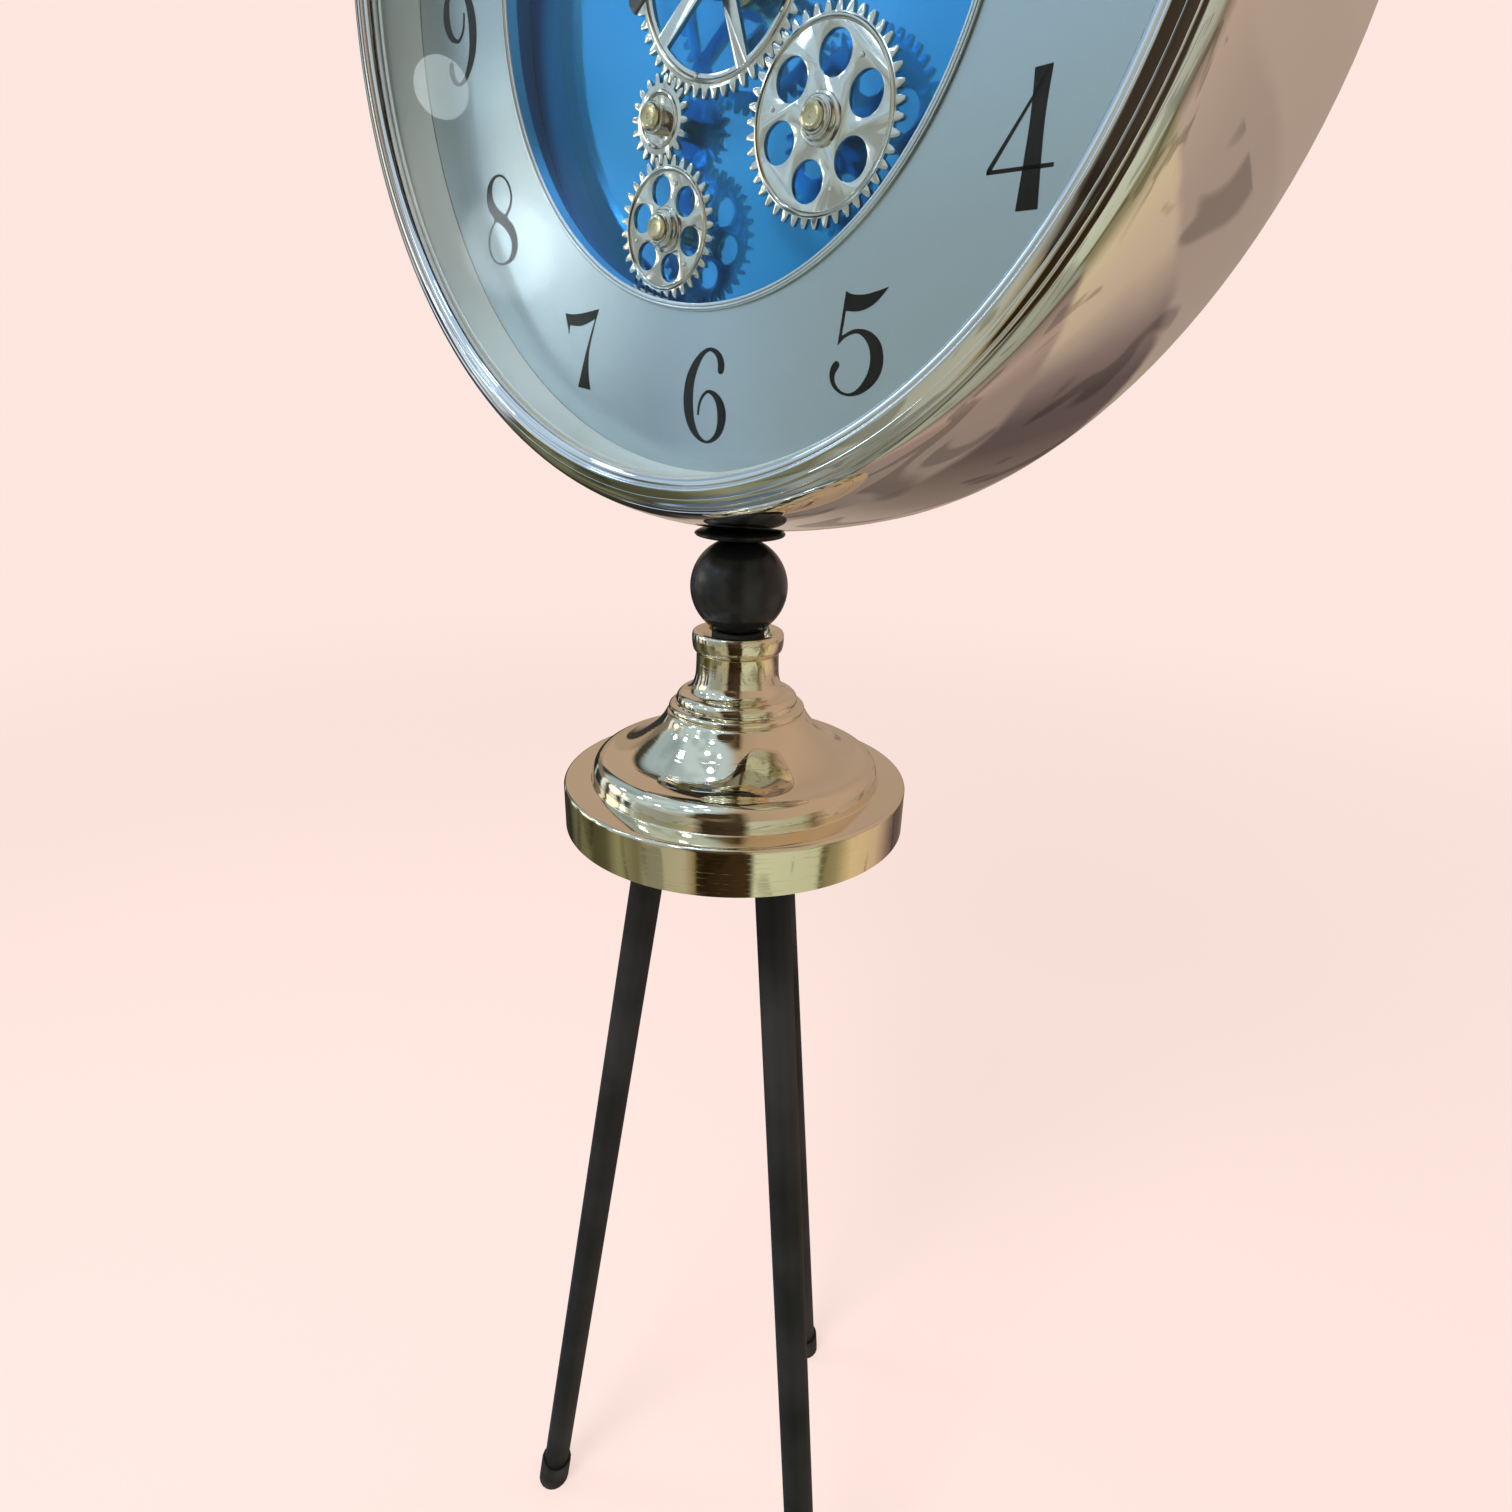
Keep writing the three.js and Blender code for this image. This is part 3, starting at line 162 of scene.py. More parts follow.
def apply_modifier(piece, kind, **settings):
    """Adds a modifier with its settings and applies it."""
    select_only(piece)
    bpy.ops.object.modifier_add(type=kind)
    modifier = piece.modifiers[-1]
    for key, value in settings.items():
        setattr(modifier, key, value)
    bpy.ops.object.modifier_apply(modifier=modifier.name)


def cut_with(piece, cutter, operation="DIFFERENCE"):
    """Cuts a piece with another body, which is then removed."""
    apply_modifier(piece, "BOOLEAN", operation=operation, object=cutter, solver="EXACT")
    bpy.data.objects.remove(cutter)


def soften_edges(piece, width, segments=2, angle=28):
    """Rounds the edges that are sharper than an angle in degrees."""
    limit = {"limit_method": "ANGLE", "angle_limit": math.radians(angle)}
    apply_modifier(
        piece, "BEVEL", width=width, segments=segments, use_clamp_overlap=True, **limit
    )


def shade(piece, angle=30):
    """Smooth shading that keeps edges sharper than an angle in degrees."""
    select_only(piece)
    bpy.ops.object.shade_smooth_by_angle(angle=math.radians(angle))


def draw_profile(name, points):
    """A new mesh that holds one line through the points, drawn by extruding a point."""
    clear_selection()
    bpy.ops.mesh.primitive_plane_add(size=0.01)
    piece = name_active(name)
    bpy.ops.object.mode_set(mode="EDIT")
    bpy.ops.mesh.merge(type="CENTER")
    bpy.ops.transform.translate(value=points[0])
    for before, after in zip(points, points[1:]):
        bpy.ops.mesh.extrude_region_move(TRANSFORM_OT_translate={"value": after - before})
    return piece


def spin_profile(piece, centre, axis, steps):
    """Spins the profile in edit mode into a closed turned body."""
    bpy.ops.mesh.select_all(action="SELECT")
    bpy.ops.mesh.spin(steps=steps, angle=2 * math.pi, center=centre, axis=axis)
    bpy.ops.mesh.select_all(action="SELECT")
    bpy.ops.mesh.remove_doubles(threshold=1e-6)
    bpy.ops.mesh.normals_make_consistent(inside=False)
    bpy.ops.object.mode_set(mode="OBJECT")
    return piece


def closed(pairs):
    """A profile that ends where it starts, unless both ends stand on the axis."""
    if pairs[0][0] < 1e-6 and pairs[-1][0] < 1e-6:
        return pairs
    return [*pairs, pairs[0]]


def turn_on_stand(name, pairs, steps):
    """A body turned about the upright axis of the stand."""
    x, y = STAND.x, STAND.y
    points = [Vector((x + out * MM, y, BASE_Z + up * MM)) for out, up in closed(pairs)]
    return spin_profile(draw_profile(name, points), (x, y, 0), (0, 0, 1), steps)


def turn_on_head(name, pairs, steps, centre=DIAL):
    """A body turned about an axis square to the dial, through the dial's middle by default."""
    x, z = centre.x, centre.z
    points = [Vector((x + radius * MM, DIAL_Y - front * MM, z)) for radius, front in closed(pairs)]
    return spin_profile(draw_profile(name, points), (x, 0, z), (0, 1, 0), steps)


def join_pieces(name, pieces):
    """Joins finished pieces of one rigid body into one object."""
    select_only(*pieces)
    bpy.ops.object.join()
    return name_active(name)


def hand_over(piece, body, slot, material, *nodes):
    """Gives a finished piece its finish and its body, and hides the CAD nodes that it stands for.
    """
    piece.data.materials.clear()
    piece.data.materials.append(material)
    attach(piece, body)
    if nodes:
        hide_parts(*nodes)


def finish_piece(piece, node, slot, finish=None, body=BODY, angle=30):
    """Shades a piece and hands it over, with its slot's finish or another one."""
    shade(piece, angle)
    hand_over(piece, body, slot, FINISHES[finish or slot], node)


def refined_copy(name, node, width, angle=40):
    """A copy of a CAD node with merged corners, flat faces made whole and softened edges."""
    select_only(frame["nodes"][node])
    bpy.ops.object.duplicate()
    piece = name_active(name)
    piece.parent = None
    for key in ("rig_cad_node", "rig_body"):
        if key in piece:
            del piece[key]
    bpy.ops.object.mode_set(mode="EDIT")
    bpy.ops.mesh.select_all(action="SELECT")
    bpy.ops.mesh.remove_doubles(threshold=2e-6)
    bpy.ops.mesh.dissolve_limited(angle_limit=math.radians(0.5))
    bpy.ops.mesh.normals_make_consistent(inside=False)
    bpy.ops.object.mode_set(mode="OBJECT")
    soften_edges(piece, width, angle=angle)
    shade(piece)
    return piece


def finish_copy(name, node, slot, width, finish=None, body=BODY, angle=40):
    """Hands over a refined copy of a CAD node, with its slot's finish or another one."""
    piece = refined_copy(name, node, width, angle)
    hand_over(piece, body, slot, FINISHES[finish or slot], node)


def arc(centre, radius, start, end, count):
    """Points of a round stretch of a profile, with angles in degrees."""
    points = []
    for i in range(count + 1):
        angle = math.radians(start + (end - start) * i / count)
        points.append((centre[0] + radius * math.cos(angle), centre[1] + radius * math.sin(angle)))
    return points


def curve(p0, p1, p2, p3, count):
    """Points of a cubic curve after its first point."""
    points = []
    for i in range(1, count + 1):
        t = i / count
        u = 1 - t
        weights = (u * u * u, 3 * u * u * t, 3 * u * t * t, t * t * t)
        axes = zip(p0, p1, p2, p3)
        points.append(tuple(sum(w * p for w, p in zip(weights, axis)) for axis in axes))
    return points


# Material helpers


class Net:
    """A node tree with short ways to add nodes whose inputs are sockets or values."""

    def __init__(self, tree):
        self.tree = tree

    def feed(self, socket, value):
        """Gives an input a value, or links it to another node's socket."""
        if isinstance(value, bpy.types.NodeSocket):
            self.tree.links.new(value, socket)
        else:
            socket.default_value = value

    def add(self, kind, inputs=None, **settings):
        """A node with its settings, and with inputs by name or place."""
        node = self.tree.nodes.new(kind)
        for key, value in settings.items():
            setattr(node, key, value)
        for key, value in (inputs or {}).items():
            self.feed(node.inputs[key], value)
        return node

    def place(self):
        """A point in the object's own coordinates."""
        return self.add("ShaderNodeTexCoord").outputs["Object"]

    def math(self, operation, first, second=None):
        """A calculation with one or two numbers."""
        inputs = {0: first} if second is None else {0: first, 1: second}
        return self.add("ShaderNodeMath", inputs, operation=operation).outputs[0]

    def vector(self, operation, first, second=None):
        """A calculation with vectors, or with a vector and its scale."""
        inputs = {0: first}
        if second is not None:
            inputs["Scale" if operation == "SCALE" else 1] = second
        result = "Value" if operation in ("DOT_PRODUCT", "LENGTH") else "Vector"
        return self.add("ShaderNodeVectorMath", inputs, operation=operation).outputs[result]

    def noise(self, vector, scale, detail, distortion=0.0):
        """A noise at a point."""
        inputs = {"Vector": vector, "Scale": scale, "Detail": detail, "Distortion": distortion}
        return self.add("ShaderNodeTexNoise", inputs).outputs["Fac"]

    def stretch(self, value, low, high, bottom=0.0, top=1.0, **settings):
        """A value moved from one range to another and kept inside it."""
        inputs = {"Value": value, "From Min": low, "From Max": high}
        inputs.update({"To Min": bottom, "To Max": top})
        return self.add("ShaderNodeMapRange", inputs, **settings).outputs["Result"]

    def mix(self, factor, first, second, kind="RGBA"):
        """A blend of two colours, or of two numbers."""
        inputs = {"Factor": factor, "A": first, "B": second}
        return self.add("ShaderNodeMix", inputs, data_type=kind).outputs["Result"]

    def mix_shaders(self, factor, first, second):
        """A blend of two shaders."""
        return self.add("ShaderNodeMixShader", {0: factor, 1: first, 2: second}).outputs[0]


def new_group(name, inputs, outputs):
    """A new shader node group: its net, its start's outputs and its end's inputs."""
    tree = bpy.data.node_groups.new(name, "ShaderNodeTree")
    for socket, kind, default in inputs:
        kind = "NodeSocket" + kind
        item = tree.interface.new_socket(name=socket, in_out="INPUT", socket_type=kind)
        item.default_value = default
    for socket, kind in outputs:
        tree.interface.new_socket(name=socket, in_out="OUTPUT", socket_type="NodeSocket" + kind)
    net = Net(tree)
    return net, net.add("NodeGroupInput").outputs, net.add("NodeGroupOutput").inputs


def make_handling_group():
    """Smudges and fine dust: a roughness that varies softly over a polished surface."""
    inputs = (("Roughness", "Float", 0.05), ("Spread", "Float", 0.04), ("Scale", "Float", 14.0))
    net, start, end = new_group("handling_marks", inputs, [("Roughness", "Float")])
    place = net.place()
    marks = net.math("MULTIPLY", net.noise(place, start["Scale"], 3), net.noise(place, 420, 2))
    spread = net.math("MULTIPLY", marks, start["Spread"])
    net.feed(end["Roughness"], net.math("ADD", spread, start["Roughness"]))


def make_turned_group():
    """Fine lines round an axis that is square to the dial, as a height."""
    inputs = (("Centre", "Vector", (0, 0, 0)), ("Lines", "Float", 900), ("Length", "Float", 3))
    net, start, end = new_group("turned_lines", inputs, [("Height", "Float")])
    offset = net.vector("SUBTRACT", net.place(), start["Centre"])
    parts = net.add("ShaderNodeSeparateXYZ", {0: offset}).outputs
    across = net.math("MULTIPLY", parts["X"], parts["X"])
    upward = net.math("MULTIPLY", parts["Z"], parts["Z"])
    radius = net.math("SQRT", net.math("ADD", across, upward))
    along = net.vector("SCALE", net.vector("NORMALIZE", offset), start["Length"])
    rings = net.math("MULTIPLY", radius, start["Lines"])
    inputs = {"Vector": along, "W": rings, "Scale": 1.0, "Detail": 3}
    lines = net.add("ShaderNodeTexNoise", inputs, noise_dimensions="4D")
    net.feed(end["Height"], lines.outputs["Fac"])


def make_streaks_group():
    """Fine straight streaks along one direction, as height and as a mask."""
    inputs = (("Density", "Vector", (900, 900, 12)), ("Contrast", "Float", 0.5))
    outputs = (("Height", "Float"), ("Mask", "Float"))
    net, start, end = new_group("rubbed_streaks", inputs, outputs)
    streaks = net.noise(net.vector("MULTIPLY", net.place(), start["Density"]), 1.0, 4)
    mask = net.math("MULTIPLY", net.math("SUBTRACT", streaks, start["Contrast"]), 4.0)
    net.feed(end["Height"], streaks)
    net.feed(end["Mask"], net.add("ShaderNodeClamp", {"Value": mask}).outputs[0])


def make_tint_group():
    """A colour that drifts between two tints over a soft cloud."""
    grey, pale = (0.5, 0.5, 0.5, 1), (0.6, 0.6, 0.6, 1)
    inputs = (("First", "Color", grey), ("Second", "Color", pale), ("Scale", "Float", 6.0))
    net, start, end = new_group("tint_drift", inputs, [("Color", "Color")])
    cloud = net.stretch(net.noise(net.place(), start["Scale"], 4), 0.35, 0.65)
    net.feed(end["Color"], net.mix(cloud, start["First"], start["Second"]))


class Finish(Net):
    """A material under construction: its shader and short ways to feed it."""

    def __init__(self, name, metallic=0.0, roughness=0.5):
        self.material = bpy.data.materials.new(name)
        self.material.use_nodes = True
        super().__init__(self.material.node_tree)
        self.shader = self.tree.nodes["Principled BSDF"]
        self.set("Metallic", metallic)
        self.set("Roughness", roughness)

    def set(self, name, value):
        """Feeds one input of the shader."""
        self.feed(self.shader.inputs[name], value)

    def show(self, surface):
        """Shows another surface than the shader's own."""
        self.feed(self.tree.nodes["Material Output"].inputs["Surface"], surface)

    def group(self, name, output, **inputs):
        """An output of one of the node groups."""
        node = self.add("ShaderNodeGroup", inputs, node_tree=bpy.data.node_groups[name])
        return node.outputs[output]

    def tint(self, first, second, scale):
        """Colour that drifts between two tints."""
        tints = {"First": (*first, 1), "Second": (*second, 1)}
        self.set("Base Color", self.group("tint_drift", "Color", Scale=scale, **tints))

    def handling(self, roughness, spread, scale):
        """Roughness with soft handling marks."""
        marks = {"Roughness": roughness, "Spread": spread, "Scale": scale}
        self.set("Roughness", self.group("handling_marks", "Roughness", **marks))

    def bump(self, height, strength, distance):
        """Surface relief from a height socket."""
        inputs = {"Strength": strength, "Distance": distance, "Height": height}
        self.set("Normal", self.add("ShaderNodeBump", inputs).outputs["Normal"])

    def grain(self, scale, detail, strength, distance):
        """Surface relief from a noise."""
        self.bump(self.noise(self.place(), scale, detail), strength, distance)

    def turning(self, lines, length, strength, distance):
        """Surface relief from lines turned round the dial's middle."""
        lines = {"Centre": (DIAL.x, 0.0, DIAL.z), "Lines": lines, "Length": length}
        self.bump(self.group("turned_lines", "Height", **lines), strength, distance)


def lighter(colour, share):
    """A colour moved towards white, or towards black for a negative share."""
    goal = 1.0 if share > 0 else 0.0
    return tuple(c + (goal - c) * abs(share) for c in colour)


# Specular levels that differ from the shader's own
SPECULAR = {"satin_black": 0.34, "leg": 0.15, "ink": 0.12}
# Scale and detail of a noise, strength and distance of its relief
GRAINS = {
    "polished_case": (16, 1, 0.06, 0.004),
    "satin_black": (900, 2, 0.10, 0.0002),
    "black_rubber": (1400, 2, 0.3, 0.0002),
    "plain_steel": (800, 2, 0.12, 0.0002),
    "black_board": (1600, 3, 0.25, 0.0002),
    "black_plastic": (2200, 2, 0.15, 0.0001),
}


def plain_finishes(colours):
    """Rows of finishes: key, material, metallic, two tints with their scale, handling marks."""
    chrome, gold, plate = tuple(colours.chrome), tuple(colours.gold), tuple(colours.plate)
    black = tuple(colours.black)
    return (
        ("polished_case", "case_chrome", 1.0,
         (chrome, lighter(chrome, -0.06), 5), (0.015, 0.09, 9)),
        ("bezel", "bezel_chrome", 1.0,
         ((0.90, 0.91, 0.92), (0.84, 0.86, 0.88), 7), (0.008, 0.03, 16)),
        ("champagne_plate", "pale_gold_plate", 1.0,
         (gold, lighter(gold, 0.08), 11), (0.02, 0.07, 18)),
        ("satin_black", "satin_black_ball", 0.0,
         (black, lighter(black, 0.012), 30), (0.20, 0.12, 30)),
        ("leg", "leg_black", 0.0,
         (black, lighter(black, 0.02), 9), (0.42, 0.16, 8)),
        ("black_rubber", "foot_rubber", 0.0,
         ((0.012, 0.012, 0.012), (0.03, 0.029, 0.028), 40), (0.72, 0.2, 60)),
        ("seal", "pale_seal", 0.0,
         ((0.40, 0.43, 0.43), (0.48, 0.51, 0.51), 20), (0.35, 0.15, 40)),
        ("plain_steel", "zinc_steel", 1.0,
         ((0.50, 0.51, 0.52), (0.62, 0.62, 0.60), 60), (0.3, 0.16, 60)),
        ("well", "well_lacquer", 0.3,
         (lighter(plate, -0.40), lighter(plate, -0.28), 9), (0.30, 0.12, 16)),
        ("trim", "bright_trim", 1.0,
         ((0.86, 0.90, 0.92), (0.78, 0.84, 0.87), 12), (0.16, 0.1, 30)),
        ("reflector", "satin_reflector", 0.4,
         ((0.70, 0.75, 0.71), (0.64, 0.70, 0.67), 5), (0.32, 0.1, 20)),
        ("gear_metal", "nickel_gear", 1.0,
         ((0.83, 0.80, 0.72), (0.74, 0.70, 0.60), 40), (0.07, 0.16, 60)),
        ("blue_plate", "blue_lacquer", 0.74,
         (lighter(plate, -0.12), lighter(plate, 0.05), 7), (0.06, 0.08, 16)),
        ("bearing_brass", "turned_brass", 1.0,
         ((0.72, 0.58, 0.32), (0.80, 0.68, 0.42), 60), (0.16, 0.14, 60)),
        ("ink", "numeral_ink", 0.0,
         ((0.006, 0.006, 0.005), (0.010, 0.010, 0.008), 40), (0.42, 0.12, 60)),
        ("hand", "hand_black", 0.0,
         ((0.010, 0.010, 0.011), (0.018, 0.018, 0.019), 40), (0.26, 0.1, 40)),
        ("black_board", "black_board", 0.0,
         ((0.022, 0.021, 0.019), (0.034, 0.032, 0.030), 14), (0.62, 0.24, 60)),
        ("black_plastic", "moulded_black", 0.0,
         ((0.016, 0.016, 0.018), (0.026, 0.026, 0.028), 40), (0.36, 0.2, 60)),
        ("cell_sleeve", "cell_sleeve", 0.0,
         ((0.07, 0.23, 0.12), (0.09, 0.27, 0.14), 50), (0.28, 0.12, 60)),
    )


def make_materials(colours):
    """Builds every finish once and returns the materials by the names of slots and finishes."""
    finishes = {}
    for key, name, metallic, tints, marks in plain_finishes(colours):
        finishes[key] = Finish(name, metallic)
        finishes[key].tint(*tints)
        finishes[key].handling(*marks)
    for key, level in SPECULAR.items():
        finishes[key].set("Specular IOR Level", level)
    for key, grain in GRAINS.items():
        finishes[key].grain(*grain)

    pedestal, leg = finishes["champagne_plate"], finishes["leg"]
    scuffs = {"Density": (26.0, 26.0, 800.0), "Contrast": 0.56}
    pedestal.bump(pedestal.group("rubbed_streaks", "Mask", **scuffs), 0.12, 0.0003)
    rubs = {"Density": (500.0, 500.0, 22.0), "Contrast": 0.5}
    leg.bump(leg.group("rubbed_streaks", "Height", **rubs), 0.18, 0.0003)
    finishes["blue_plate"].turning(900.0, 6.0, 0.08, 0.0003)
    finishes["dial_metal"] = make_brushed_dial(tuple(colours.dial))
    finishes["clear_glass"] = make_glass()
    return {key: finish.material for key, finish in finishes.items()}


def make_brushed_dial(colour):
    """Metal brushed in rings, which draws its highlights into fans."""
    dial = Finish("brushed_dial", metallic=1.0, roughness=0.27)
    dial.tint(colour, lighter(colour, 0.10), 3)
    dial.set("Anisotropic", 0.8)
    dial.set("Anisotropic Rotation", 0.25)
    dial.turning(2600.0, 2.0, 0.16, 0.0002)
    around = dial.add("ShaderNodeTangent", direction_type="RADIAL", axis="Y")
    dial.set("Tangent", around.outputs["Tangent"])
    return dial


def make_glass():
    """Clear glass that lets lamps light what lies behind it."""
    glass = Finish("clear_glass", roughness=0.0)
    glass.set("Base Color", (0.97, 0.99, 0.99, 1))
    glass.set("Transmission Weight", 1.0)
    glass.set("IOR", 1.22)
    glass.handling(0.0, 0.012, 10)
    shadow = glass.add("ShaderNodeLightPath").outputs["Is Shadow Ray"]
    clear = glass.add("ShaderNodeBsdfTransparent").outputs[0]
    glass.show(glass.mix_shaders(shadow, glass.shader.outputs[0], clear))
    return glass


# Every material by its slot or finish, filled once by main
FINISHES = {}


# Head

CASE_WALL = 2.0
CASE_FRONT, CASE_RADIUS, CASE_LENGTH, CASE_BULGE = 34.3, 280.0, 114.6, 21.3
CASE_REAR, CASE_SHOULDER = -109.0, 12.0
# The wall's inner side ends where the lip behind the bezel starts
LIP_BACK = 32.0


def case_outline(margin):
    """The case's bulged wall from its front edge to its flat rear, grown by a margin."""
    middle, side = CASE_FRONT - CASE_LENGTH, CASE_RADIUS - CASE_BULGE
    steps = 26
    pairs = []
    for i in range(steps + 1):
        angle = math.radians(90 * i / steps)
        depth = middle + (CASE_LENGTH + margin) * math.cos(angle)
        pairs.append((side + (CASE_BULGE + margin) * math.sin(angle), depth))
    start = CASE_REAR + CASE_SHOULDER
    last = side + CASE_BULGE * math.sqrt(1 - ((start - middle) / CASE_LENGTH) ** 2)
    return pairs + arc((last - CASE_SHOULDER, start), CASE_SHOULDER + margin, 0, -90, 9)


class CLOCK_OT_case(bpy.types.Operator):
    """Turns the chrome case and the bezel"""

    bl_idname = "clock.case"
    bl_label = "Case and bezel"

    def execute(self, context):
        steps = context.scene.clock_sizes.turning_steps
        inside = [pair for pair in reversed(case_outline(-CASE_WALL)) if pair[1] < LIP_BACK]
        outline = [(250.0, 34.3), (255.0, 34.3), *case_outline(0.0), (251.5, -109.0)]
        outline += [(250.4, -108.4), (250.2, -105.0), (237.8, -105.0), (237.8, -103.0)]
        outline += [(254.5, -103.0), (254.5, -107.0), *inside, (250.0, 32.3)]
        case = turn_on_head("case_shell_polished", outline, steps)
        finish_piece(case, "case_shell", "polished_case")

        crown = [
            (247.5, 34.6), (247.5, 21.6), (249.7, 21.6), (249.7, 34.6), (259.7, 34.6),
            *curve((259.7, 34.6), (259.7, 35.2), (259.4, 35.4), (258.9, 35.6), 4),
            *curve((258.9, 35.6), (257.8, 36.2), (256.6, 36.7), (255.4, 37.0), 6),
            (255.2, 36.9),
            *curve((255.2, 36.9), (253.8, 37.5), (252.4, 38.0), (251.2, 38.4), 6),
            *curve((251.2, 38.4), (250.6, 38.6), (250.0, 38.7), (249.5, 38.4), 6),
            *curve((249.5, 38.4), (249.0, 38.0), (248.8, 37.4), (248.7, 36.6), 5),
            (248.3, 36.3),
            *curve((248.3, 36.3), (247.4, 36.6), (246.4, 36.5), (245.6, 36.0), 6),
            *curve((245.6, 36.0), (245.0, 35.7), (244.5, 35.3), (244.2, 34.9), 5),
            (244.2, 34.6),
        ]
        bezel = turn_on_head("bezel_polished", crown, steps)
        finish_piece(bezel, "bezel", "polished_case", "bezel", angle=40)
        return {"FINISHED"}


class CLOCK_OT_glazing(bpy.types.Operator):
    """Turns the front glass, its gasket and the reflector ring"""

    bl_idname = "clock.glazing"
    bl_label = "Glass and reflector"

    def execute(self, context):
        steps = context.scene.clock_sizes.turning_steps
        pane = [(0.0, 31.3), (246.6, 31.3), (247.1, 31.7), (247.1, 33.6), (246.4, 34.3)]
        glass = turn_on_head("glass_pane", [*pane, (0.0, 34.3)], steps)
        finish_piece(glass, "front_glass", "clear_glass", angle=20)

        gasket = turn_on_head("gasket_round", arc((245.2, 29.5), 1.5, 0, 315, 7), steps)
        finish_piece(gasket, "glass_gasket", "black_rubber", "seal", angle=60)

        wall = [
            (242.7, -1.5), (244.5, -1.5), (245.1, 26.6), (245.1, 27.7), (242.4, 27.7),
            (242.0, 27.3), (242.0, 26.8), (243.2, 26.4), (242.7, 1.4), (242.2, 0.5),
            (242.2, 0.3), (242.7, 0.3),
        ]
        ring = turn_on_head("reflector_turned", wall, steps)
        finish_piece(ring, "reflector_ring", "dial_metal", "reflector")
        return {"FINISHED"}


class CLOCK_OT_dial(bpy.types.Operator):
    """Turns the dial ring, the window trim, the carrier, the well and the back plate"""

    bl_idname = "clock.dial"
    bl_label = "Dial"

    def execute(self, context):
        steps = context.scene.clock_sizes.turning_steps
        face = [(155.7, -1.5), (242.4, -1.5), (242.4, -0.2), (242.2, 0.0), (155.7, 0.0)]
        finish_piece(turn_on_head("dial_brushed", face, steps), "dial_ring", "dial_metal")

        lip = [
            (154.0, -6.0), (154.0, 0.8),
            *arc((154.7, 0.9), 0.7, 180, 90, 4),
            (155.2, 1.6), (155.5, 1.3), (155.8, 1.6),
            *curve((155.8, 1.6), (156.0, 2.4), (156.5, 2.6), (157.0, 2.6), 5),
            *curve((157.0, 2.6), (157.8, 2.6), (158.3, 2.0), (158.3, 1.2), 5),
            (158.3, 0.3), (155.4, 0.3), (155.4, -6.0),
        ]
        trim = turn_on_head("window_trim_rolled", lip, steps)
        finish_piece(trim, "window_trim", "dial_metal", "trim", angle=40)

        finish_copy("carrier_board", "dial_carrier", "black_board", 0.0004)
        wall = [(168.0, -27.1), (170.0, -27.1), (170.0, -5.1), (168.0, -5.1)]
        finish_piece(turn_on_head("well_wall", wall, steps), "well_ring", "black_board", "well")

        plate = [(5.3, -28.9), (176.0, -28.9), (176.0, -27.6), (175.8, -27.4), (5.3, -27.4)]
        back = turn_on_head("back_plate_lacquered", plate, steps)
        finish_piece(back, "back_plate", "blue_plate")
        return {"FINISHED"}


# Numerals are drawn in millimetres, with their foot at zero, and then scaled
FIGURE_WIDTH, FIGURE_HEIGHT, FIGURE_MIDDLE, FIGURE_GAP = 32.0, 50.5, 25.2, 3.0
# The ink stands this far off the dial, in metres
INK_GAP = 0.00002


def between(t, a, b, c, d):
    """A smooth value a share t of the way from b to c, with the neighbours a and d."""
    second, third = 2 * a - 5 * b + 4 * c - d, 3 * b - a - 3 * c + d
    return 0.5 * (2 * b + (c - a) * t + second * t**2 + third * t**3)


def smooth_path(points, count=6):
    """A smooth line through points, with any further values of each point carried along."""
    result = []
    last = len(points) - 1
    for i in range(last):
        near = [points[max(0, min(last, k))] for k in (i - 1, i, i + 1, i + 2)]
        for step in range(count):
            result.append(tuple(between(step / count, *values) for values in zip(*near)))
    result.append(tuple(points[-1]))
    return result


def stroke_sides(points, round_start=False, round_end=False):
    """Both sides of a pen stroke of points (x, y, width), as one outline."""
    path = smooth_path(points)
    left = []
    right = []
    for i, (x, y, width) in enumerate(path):
        ahead = path[min(i + 1, len(path) - 1)]
        behind = path[max(i - 1, 0)]
        dx, dy = ahead[0] - behind[0], ahead[1] - behind[1]
        length = math.hypot(dx, dy) or 1.0
        nx, ny = -dy / length * width / 2, dx / length * width / 2
        left.append((x + nx, y + ny))
        right.append((x - nx, y - ny))
    outline = list(left)
    if round_end:
        outline += round_cap(left[-1], right[-1])
    outline += reversed(right)
    if round_start:
        outline += round_cap(right[0], left[0])
    return outline


def round_cap(first, second):
    """Points of a half circle that runs clockwise from one point to the other."""
    cx, cy = (first[0] + second[0]) / 2, (first[1] + second[1]) / 2
    radius = math.hypot(first[0] - cx, first[1] - cy)
    start = math.atan2(first[1] - cy, first[0] - cx)
    turns = [start - math.pi * k / 8 for k in range(1, 8)]
    return [(cx + radius * math.cos(t), cy + radius * math.sin(t)) for t in turns]


def oval(cx, cy, half_width, half_height, count=40):
    """An upright oval outline."""
    turns = [2 * math.pi * k / count for k in range(count)]
    return [(cx + half_width * math.cos(t), cy + half_height * math.sin(t)) for t in turns]


SIX_STROKE = [
    (28.0, 39.0, 4.4), (28.2, 42.2, 4.5), (26.0, 46.8, 3.5), (20.3, 49.5, 1.9), (14.1, 46.9, 3.0),
    (8.7, 40.8, 5.0), (5.1, 33.8, 6.4), (3.6, 25.4, 7.2), (3.8, 17.7, 7.0), (6.0, 10.0, 5.6),
    (11.0, 3.5, 3.0), (17.8, 0.8, 1.5), (24.3, 3.6, 3.2), (27.9, 8.7, 5.0), (29.0, 15.1, 6.2),
    (27.8, 20.9, 5.4), (24.3, 25.6, 3.6), (18.9, 27.8, 1.8), (14.7, 25.4, 1.7), (12.0, 20.9, 1.5),
    (11.0, 15.1, 1.3),
]


def draw_six():
    """One stroke from the drop at the top, round the back and the bowl."""
    return [stroke_sides(SIX_STROKE, round_start=True)]


